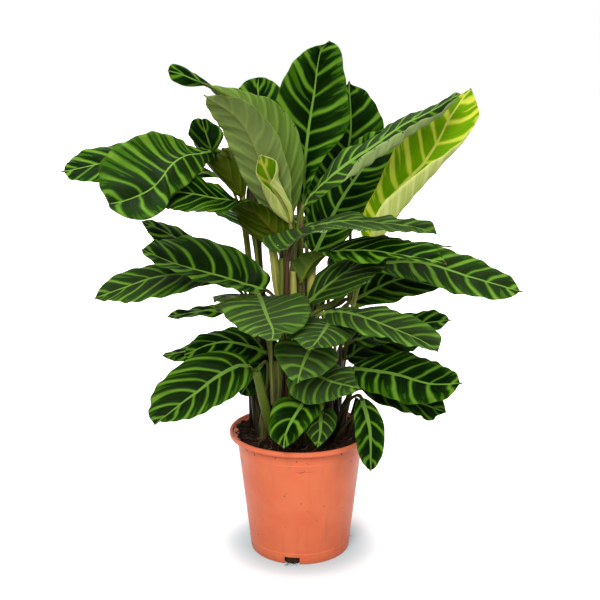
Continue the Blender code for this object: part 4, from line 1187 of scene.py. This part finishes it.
def cornered(points, steps=5):
    # a profile of (radius, height, rounding) with an arc-like curve at each corner that has a rounding
    profile = []
    for number, (x, z, rounding) in enumerate(points):
        here = np.array((x, z))
        if rounding == 0:
            profile.append(here)
            continue
        back = unit(np.array(points[number - 1][:2]) - here)
        ahead = unit(np.array(points[number + 1][:2]) - here)
        t = np.linspace(0, 1, steps)[:, None]
        profile += list(here + rounding * ((1 - t) ** 2 * back + t ** 2 * ahead))
    return np.array(profile)


def wallRadius(height):
    # the wall leans out evenly, and has its full radius just under the lip
    full = pot["height"] - pot["lipHeight"] - 0.003
    return pot["baseRadius"] + (pot["wallRadius"] - pot["baseRadius"]) * height / full


def turned(profile, segments):
    # the profile's radius and height carried round Z, with a cap at each end
    angle = np.arange(segments) * 2 * np.pi / segments
    radius, height = profile.T[..., None]
    ring = np.broadcast_arrays(radius * np.cos(angle), radius * np.sin(angle), height)
    first = np.arange(segments)[None, ::-1]
    last = first[:, ::-1] + (len(profile) - 1) * segments
    return np.stack(ring, axis=-1).reshape(-1, 3), gridFaces(len(profile), segments, wrap=True), first, last


def makePotMaterial():
    material, tree, sockets = newMaterial("pot_plastic", pot["roughness"], pot["shine"])
    colour, faded, dust, foot, dirt = (
        srgb(*pot[key]) for key in ("colour", "fadedColour", "dustColour", "footColour", "dirt"))
    where = objectPlace(tree)
    x, y, z = split(where)
    cloud, fine, speck = (noise(where, *pot[key]) for key in ("cloud", "fine", "speck"))
    upright, level = (drawnNoise((x, y, z), *pot[key]) for key in ("upright", "level"))
    inDust, inSpecks, inScratches, inStrokes = pot["strengths"]
    skin = mix(step(cloud, 0.35, 0.7), colour, faded)
    skin = mix(step(upright, 0.52, 0.8) * inDust, skin, dust)

    # specks of dirt, thicker towards the foot, the lip and the left, and fine level scratches
    lowDown = step(z, 0.0, 0.05, 0.035, 0.0)
    highUp = step(z, 0.13, 0.18, 0.0, 0.02) + step(x, -0.085, -0.055, 0.05, 0.0)
    specks = step(speck + (lowDown + highUp), 0.775, 0.81)
    skin = mix(specks * inSpecks, skin, dirt)
    scratch = step(level, 0.70, 0.76) * step(cloud, 0.50, 0.62)
    skin = mix(scratch * inScratches, skin, dirt)

    # thin bent strokes on the front: z follows a parabola over x
    front = calc("LESS_THAN", y, 0.0)
    for markX, markZ, half, slope, bend, thick in pot["scratches"]:
        run = x - markX
        rise = line(run, slope, run * run * bend)
        off = abs(z - markZ - rise)
        stroke = fade(off, thick, 2 * thick) * fade(abs(run), 0.6 * half, half)
        skin = mix(stroke * front * inStrokes, skin, dirt)
    skin = mix(step(line(cloud, 0.02, z), 0.008, 0.022, 0.35, 0.0), skin, foot)
    feed(sockets["Base Color"], skin)
    feed(sockets["Roughness"], line(cloud, 0.22, line(specks, 0.3, 0.30)))
    bump(sockets, fine * 0.25 - scratch * 0.5 + cloud * 0.6, 0.25, 0.0008)
    return material


def makePot():
    material = makePotMaterial()
    top, lipFoot = pot["height"], pot["height"] - pot["lipHeight"]
    base, lip, mark = pot["baseRadius"], pot["lipRadius"], pot["line"]
    ring, band = pot["ringHeight"], pot["bandHeight"]
    corners = cornered((
        (0.001, 0.0, 0),
        (base - 0.006, 0.0, 0.0006),
        (base - 0.0045, 0.0012, 0.0006),
        (base - 0.003, 0.0, 0.0008),
        (base, 0.0, 0.0016),
        (wallRadius(band) + 0.0002, band - 0.0006, 0.0003),
        (wallRadius(band) - mark, band, 0.0003),
        (wallRadius(band + 0.001), band + 0.001, 0.0003),
        (wallRadius(ring), ring - 0.0008, 0.0003),
        (wallRadius(ring) + mark, ring, 0.0003),
        (wallRadius(ring), ring + 0.0008, 0.0003),
        (wallRadius(lipFoot - 0.003), lipFoot - 0.0035, 0.001),
        (lip - 0.0012, lipFoot - 0.0002, 0.0010),
        (lip, lipFoot + 0.0008, 0.0010),
        (lip - 0.0003, top - 0.0002, 0.0020),
        (lip - 0.0044, top, 0.0018),
        (lip - 0.0062, lipFoot + 0.0022, 0.0010),
        (pot["wallRadius"] - pot["wall"], lipFoot - 0.0004, 0.0012),
        (base - pot["wall"] + 0.001, pot["floor"] + 0.001, 0.001),
        (0.001, pot["floor"], 0),
    ))
    profile = [corners[0]]
    for point in corners[1:]:
        start = profile[-1]
        pieces = max(1, int(np.linalg.norm(point - start) / pot["rowHeight"]))
        profile += [start + (point - start) * k / pieces for k in range(1, pieces + 1)]
    places, quads, first, last = turned(np.array(profile), pot["segments"])
    # a moulded pot is never quite round
    angle = np.arctan2(places[:, 1], places[:, 0])
    swell = pot["outOfRound"] * np.sin(2 * angle + 0.7) * ease(places[:, 2], 0.02, 0.18)
    places[:, :2] *= (1 + swell)[:, None]
    item = makeMesh("nursery_pot", places, (quads, first, last), [material])
    for angle in notchAngles():
        bpy.ops.mesh.primitive_cube_add(
            size=1, location=(base * math.cos(angle), base * math.sin(angle), 0), rotation=(0, 0, angle),
            scale=(pot["notchDepth"], pot["notchWidth"], 2 * pot["notchHeight"]))
        cutter = bpy.context.active_object
        cut = item.modifiers.new("notch", "BOOLEAN")
        cut.operation = "DIFFERENCE"
        cut.solver = "EXACT"
        cut.object = cutter
        bpy.context.view_layer.update()
        result = bpy.data.meshes.new_from_object(item.evaluated_get(bpy.context.evaluated_depsgraph_get()))
        item.modifiers.clear()
        item.data = result
        bpy.data.objects.remove(cutter, do_unlink=True)
    item.data.shade_smooth()
    item.data.set_sharp_from_angle(angle=pot["sharpAngle"])
    place(item, "pot_plastic", "pot")


soil = dict(
    radius=0.0962,
    rings=56,
    segments=150,
    body=((0.002, 0.0046), (0.0692, 0.0046), (0.0885, 0.1700)),  # radius and height of its floor and wall
    sink=0.0015,
    lumps=((0.0045, 45, 9, 3), (0.0030, 170, 40, 4), (0.0016, 420, 70, 5)),  # height, scale, shift and seed
    mound=(0.003, 0.003, 0.055),  # height everywhere, in the middle, and how far that spreads
    rimRise=(0.0050, 0.060, 0.094),  # height, and from where to where it rises
    crumbs=620,
    crumbSize=(0.0010, 0.0030),
    crumbReach=0.965,  # how far out they lie, as a share of the radius
    plugRows=11,
    plugSides=20,
    plugPlace=(0.0675, 0.0057),  # how far out its middle is, and how high
    plugHalf=(0.0052, 0.0104, 0.0056),  # outwards, to the side and upwards
    plugUneven=0.14,
    rootsPerNotch=9,
    rootStart=0.0705,
    # a root's steps outwards, and how high it is at each of them, as a share of its height in the notch
    rootSteps=(0, 0.0025, 0.0045, 0.0060, 0.0072),
    rootDrops=(1, 0.8, 0.45, 0.15, 0.08),
    fibres=190,
    fibreLength=(0.004, 0.013),
    fibreReach=(0.90, 0.96),  # how far out their middles and their ends lie
    fibreRows=7,
    fibreSides=4,
    roughness=0.9,
    shine=0.1,
    grainScales=(520.0, 90.0),
    colour=(24, 15, 10),
    lightColour=(70, 46, 30),
    fibreColour=(136, 100, 70),
    darkColour=(18, 11, 8),
)


def lattice(x, y, seed):
    # smooth random height over the plane, from random values at whole numbers of x and y
    table = np.random.default_rng(seed).random((97, 97))
    column, row = np.floor(x).astype(int), np.floor(y).astype(int)
    a, b = ease(x - column, 0, 1), ease(y - row, 0, 1)
    corner = [table[(row + r) % 97, (column + c) % 97] for r in (0, 1) for c in (0, 1)]
    return (corner[0] * (1 - a) + corner[1] * a) * (1 - b) + (corner[2] * (1 - a) + corner[3] * a) * b


def soilHeight(x, y):
    # three sizes of lattice, on a low mound in the middle that rises again to the wall
    low, grains, fine = (height * (lattice(x * scale + shift, y * scale + shift, seed) - 0.5)
                         for height, scale, shift, seed in soil["lumps"])
    far = np.hypot(x, y)
    everywhere, middle, spread = soil["mound"]
    rim, start, end = soil["rimRise"]
    mound = everywhere + middle * np.exp(-((far / spread) ** 2)) + rim * ease(far, start, end)
    return soilTop - soil["sink"] + low + (grains + fine) + mound


def makeSoilMaterial():
    # look holds how much fibre colour there is, and how dark the spot is
    material, tree, sockets = newMaterial("soil", soil["roughness"], soil["shine"])
    colour, lighter, fibre, dark = (
        srgb(*soil[key]) for key in ("colour", "lightColour", "fibreColour", "darkColour"))
    where = objectPlace(tree)
    grain, clump = (noise(where, scale, 3.0, 0.6) for scale in soil["grainScales"])
    inFibre, inDark = lookOf(tree)[:2]
    skin = mix(step(line(clump, 0.6, grain), 0.72, 1.05), colour, lighter)
    skin = mix(inFibre, skin, fibre)
    feed(sockets["Base Color"], mix(inDark * 0.8, skin, dark))
    feed(sockets["Roughness"], line(clump, 0.3, 0.6))
    bump(sockets, grain + clump, 0.6, 0.0012)
    return material


def soilLook(count, fibre=0.0, dark=0.0):
    return np.tile((fibre, dark, 0, 1), (count, 1))


def randomSpot(random, reach):
    # a place on the bed, up to a share of its radius from the middle
    far = soil["radius"] * reach * math.sqrt(random.random())
    turn = random.uniform(0, 2 * math.pi)
    return far * math.cos(turn), far * math.sin(turn)


def facing(angle, out, side, height):
    # points at a distance out along the way that the angle faces, and off to the side of it
    return np.stack((out * math.cos(angle) - side * math.sin(angle),
                     out * math.sin(angle) + side * math.cos(angle), height), axis=-1)


def thread(path, radius, fibre):
    places, quads, caps = tube(path, radius, soil["fibreSides"])
    return places, quads, caps, soilLook(len(places), fibre)


def makeSoilBed(material):
    # rings from the middle of the body's floor up its wall, and back over the bed to the middle
    radius = soil["radius"] * (np.linspace(0.004, 1, soil["rings"]) ** 0.8)[::-1]
    rows = np.vstack((soil["body"], np.stack((radius, np.zeros(len(radius))), axis=1)))
    places, quads, first, last = turned(rows, soil["segments"])
    bed = places[len(soil["body"]) * soil["segments"]:]
    bed[:, 2] = soilHeight(bed[:, 0], bed[:, 1])
    item = makeMesh("soil_bed", places, (quads, first, last), [material], looks=soilLook(len(places)))
    place(item, "soil", "soil")


def crumb(random):
    # a lump of four rings with six sides, pressed into the bed
    x, y = randomSpot(random, soil["crumbReach"])
    size = random.uniform(*soil["crumbSize"])
    rise = np.array((-1.0, -0.55, 0.35, 0.95))[:, None]
    ring = np.arange(6) * np.pi / 3 + random.uniform(0, 1)
    wide = np.sqrt(1 - (rise * 0.98) ** 2) * random.uniform(0.75, 1.25, (4, 6)) * size
    px = x + wide * np.cos(ring) * random.uniform(0.8, 1.5)
    py = y + wide * np.sin(ring)
    pz = soilHeight(x, y) + (rise * random.uniform(0.5, 0.9) + 0.25) * size
    caps = np.array(((5, 4, 3, 2), (5, 2, 1, 0), (18, 19, 20, 21), (18, 21, 22, 23)))
    lump = np.stack(np.broadcast_arrays(px, py, pz), axis=-1).reshape(-1, 3)
    look = soilLook(len(lump), 0.25 * (random.random() > 0.9), random.uniform(0, 1))
    return lump, np.vstack((gridFaces(4, 6, wrap=True), caps)), look


def rootPlug(angle, random):
    # the root ball as it shows in a drain notch: a lump of rings round the way that the notch faces
    rows, sides = soil["plugRows"], soil["plugSides"]
    turn = np.linspace(0, 2 * np.pi, sides, endpoint=False)
    turn, rise = np.meshgrid(turn, np.linspace(-1.45, 1.45, rows))
    size = 1 + random.uniform(-soil["plugUneven"], soil["plugUneven"], turn.shape)
    full = np.cos(rise) ** 0.3
    (far, height), (outHalf, sideHalf, upHalf) = soil["plugPlace"], soil["plugHalf"]
    out = far + outHalf * size * full * np.cos(turn)
    side = sideHalf * size * full * np.sin(turn)
    places = facing(angle, out, side, height + upHalf * np.sin(rise)).reshape(-1, 3)
    first = np.arange(sides)
    ends = np.stack((first[::-1], first + (rows - 1) * sides))
    return places, gridFaces(rows, sides, wrap=True), ends, soilLook(len(places), 0.12, 0.2)


def notchRoot(angle, random):
    # a root that hangs out of a notch and lies down on the floor
    steps, drops = np.array(soil["rootSteps"]), np.array(soil["rootDrops"])
    out = soil["rootStart"] + steps * random.uniform(0.6, 1.3)
    side = random.uniform(-0.010, 0.010) + np.linspace(0, random.uniform(-0.009, 0.009), len(steps))
    drop = np.maximum(random.uniform(0.002, 0.009) * drops, 0.0004)
    path = smoothPath(facing(angle, out, side, drop), soil["fibreRows"])[0]
    return thread(path, random.uniform(0.00014, 0.00026), random.uniform(0.2, 0.7))


def bedFibre(random):
    # a thin thread on the bed, bent along a parabola, with one end lifted a little
    middle, ends = soil["fibreReach"]
    x, y = randomSpot(random, middle)
    way = random.uniform(0, 2 * math.pi)
    size = random.uniform(*soil["fibreLength"])
    reach = np.linspace(-0.5, 0.5, soil["fibreRows"]) * size
    bend = random.uniform(-40, 40) * reach ** 2
    px = x + reach * math.cos(way) - bend * math.sin(way)
    py = y + reach * math.sin(way) + bend * math.cos(way)
    inside = np.minimum(1, soil["radius"] * ends / np.hypot(px, py))
    px, py = px * inside, py * inside
    pz = soilHeight(px, py) + 0.0011 + random.uniform(0, 30) * (reach + size / 2) * 0.02
    path = np.stack((px, py, pz), axis=-1)
    return thread(path, random.uniform(0.00018, 0.00042), random.uniform(0.3, 1))


def makeSoil():
    material = makeSoilMaterial()
    random = np.random.default_rng(11)
    makeSoilBed(material)
    places, quads, looks = joined([crumb(random) for _ in range(soil["crumbs"])])
    item = makeMesh("soil_crumbs", places, (quads,), [material], looks=looks, smooth=False)
    place(item, "soil")
    plugs = [rootPlug(angle, random) for angle in notchAngles()]
    places, quads, ends, looks = joined(plugs, faceColumns=(1, 2))
    place(makeMesh("notch_roots", places, (quads, ends), [material], looks=looks), "soil")
    threads = [notchRoot(angle, random) for angle in np.repeat(notchAngles(), soil["rootsPerNotch"])]
    threads += [bedFibre(random) for _ in range(soil["fibres"])]
    places, quads, caps, looks = joined(threads, faceColumns=(1, 2))
    place(makeMesh("soil_fibres", places, (quads, caps), [material], looks=looks), "soil")


stage = dict(
    floorHalf=30,
    floorColour=(0.40, 0.40, 0.40),
    floorSeen=(0.60, 0.70, 0.73),  # what the camera sees of it, so that the pot's shadow shows, tinted cyan as painted light against the pot's pink bounce
    floorGlow=((0.14, 0.17, 0.173), (0.20, 0.18, 0.179)),  # by the pot and away from it; the one by the pot is tinted cyan as painted light against the pot's pink bounce
    glowTurn=(0.075, 0.12),
    # where from the middle each part of the glow starts and ends to grow, and from what to what; the glow
    # is lowest by the pot's foot and grows outwards, a painted shadow round the pot on top of its real one,
    # and further out it hides the plant's real shadow on the floor, which is painted light
    glowSteps=((0.070, 0.135, 1.0, 3.2), (0.10, 0.22, 0.0, 2.6), (0.35, 1.6, 0.0, 5.0)),
    worldLight=0.28,
    lamps=(
        # place, aimed at, size, power
        ((-0.45, -2.15, 1.8), (0, 0, 0.35), 1.1, 46),
        ((1.5, -1.5, 1.3), (0, 0, 0.35), 1.0, 7),
        ((0.0, 0.3, 2.3), (0, 0, 0.30), 1.6, 36),
    ),
    cameraPlace=(0, -1.4, 0.69),
    cameraPitch=12.7,
    cameraLens=60.24,
    cameraSensor=36,
)


def cameraSees(tree):
    # 1 for what the camera sees, straight or by a reflection, and 0 for the light that falls on things
    names = ("Is Camera Ray", "Is Glossy Ray", "Is Transmission Ray")
    straight, glossy, through = node(tree, "LightPath", (), names)
    return calc("MINIMUM", 1.0, straight + (glossy + through))


def makeFloor():
    material, tree, sockets = newMaterial("floor", 0.9, 0)
    seen = cameraSees(tree)
    colour, colourSeen, near, outer = (
        (*colour, 1) for colour in (stage["floorColour"], stage["floorSeen"], *stage["floorGlow"]))
    feed(sockets["Base Color"], mix(seen, colour, colourSeen))
    x, y = split(objectPlace(tree))[:2]
    far = calc("SQRT", x * x + y * y)
    # the glow that the camera sees is lowest round the pot's foot and grows outwards: a painted shadow
    # round the pot
    first, second, third = (step(far, *values) for values in stage["glowSteps"])
    glow = first + second + third
    feed(sockets["Emission Color"], mix(step(far, *stage["glowTurn"]), near, outer))
    feed(sockets["Emission Strength"], glow * seen)
    corners = stage["floorHalf"] * np.array(((-1, -1, 0), (1, -1, 0), (1, 1, 0), (-1, 1, 0)), dtype=float)
    makeMesh("floor", corners, (np.arange(4)[None, :],), [material])


def makeWorld():
    world = bpy.data.worlds.new("studio")
    bpy.context.scene.world = world
    world.use_nodes = True
    tree = world.node_tree
    background = tree.nodes["Background"].inputs
    background["Color"].default_value = (1, 1, 1, 1)
    feed(background["Strength"], cameraSees(tree) * (1.0 - stage["worldLight"]) + stage["worldLight"])


def makeStage():
    makeFloor()
    makeWorld()
    for number, (spot, aim, size, power) in enumerate(stage["lamps"]):
        lamp = bpy.data.lights.new(f"softbox_{number + 1}", "AREA")
        lamp.size = size
        lamp.energy = power
        item = addObject(lamp.name, lamp)
        item.location = spot
        item.rotation_euler = (Vector(aim) - Vector(spot)).to_track_quat("-Z", "Y").to_euler()
    camera = bpy.data.cameras.new("camera")
    camera.lens = stage["cameraLens"]
    camera.sensor_width = stage["cameraSensor"]
    item = addObject("camera", camera)
    item.location = stage["cameraPlace"]
    item.rotation_euler = (math.radians(90 - stage["cameraPitch"]), 0, 0)
    bpy.context.scene.camera = item
    bpy.context.scene.view_settings.view_transform = "Standard"


makeStage()
print("stage made")
makePot()
print("pot made")
makeSoil()
print("soil made")
leafMaterials = makeLeafMaterials()
for number, leaf in enumerate(leaves):
    leaf["seed"] = number + 1
    makeBlade(leaf, leafMaterials)
print(len(leaves), "leaves made")
makeStalks(makeStalkMaterial())
print("stalks made")
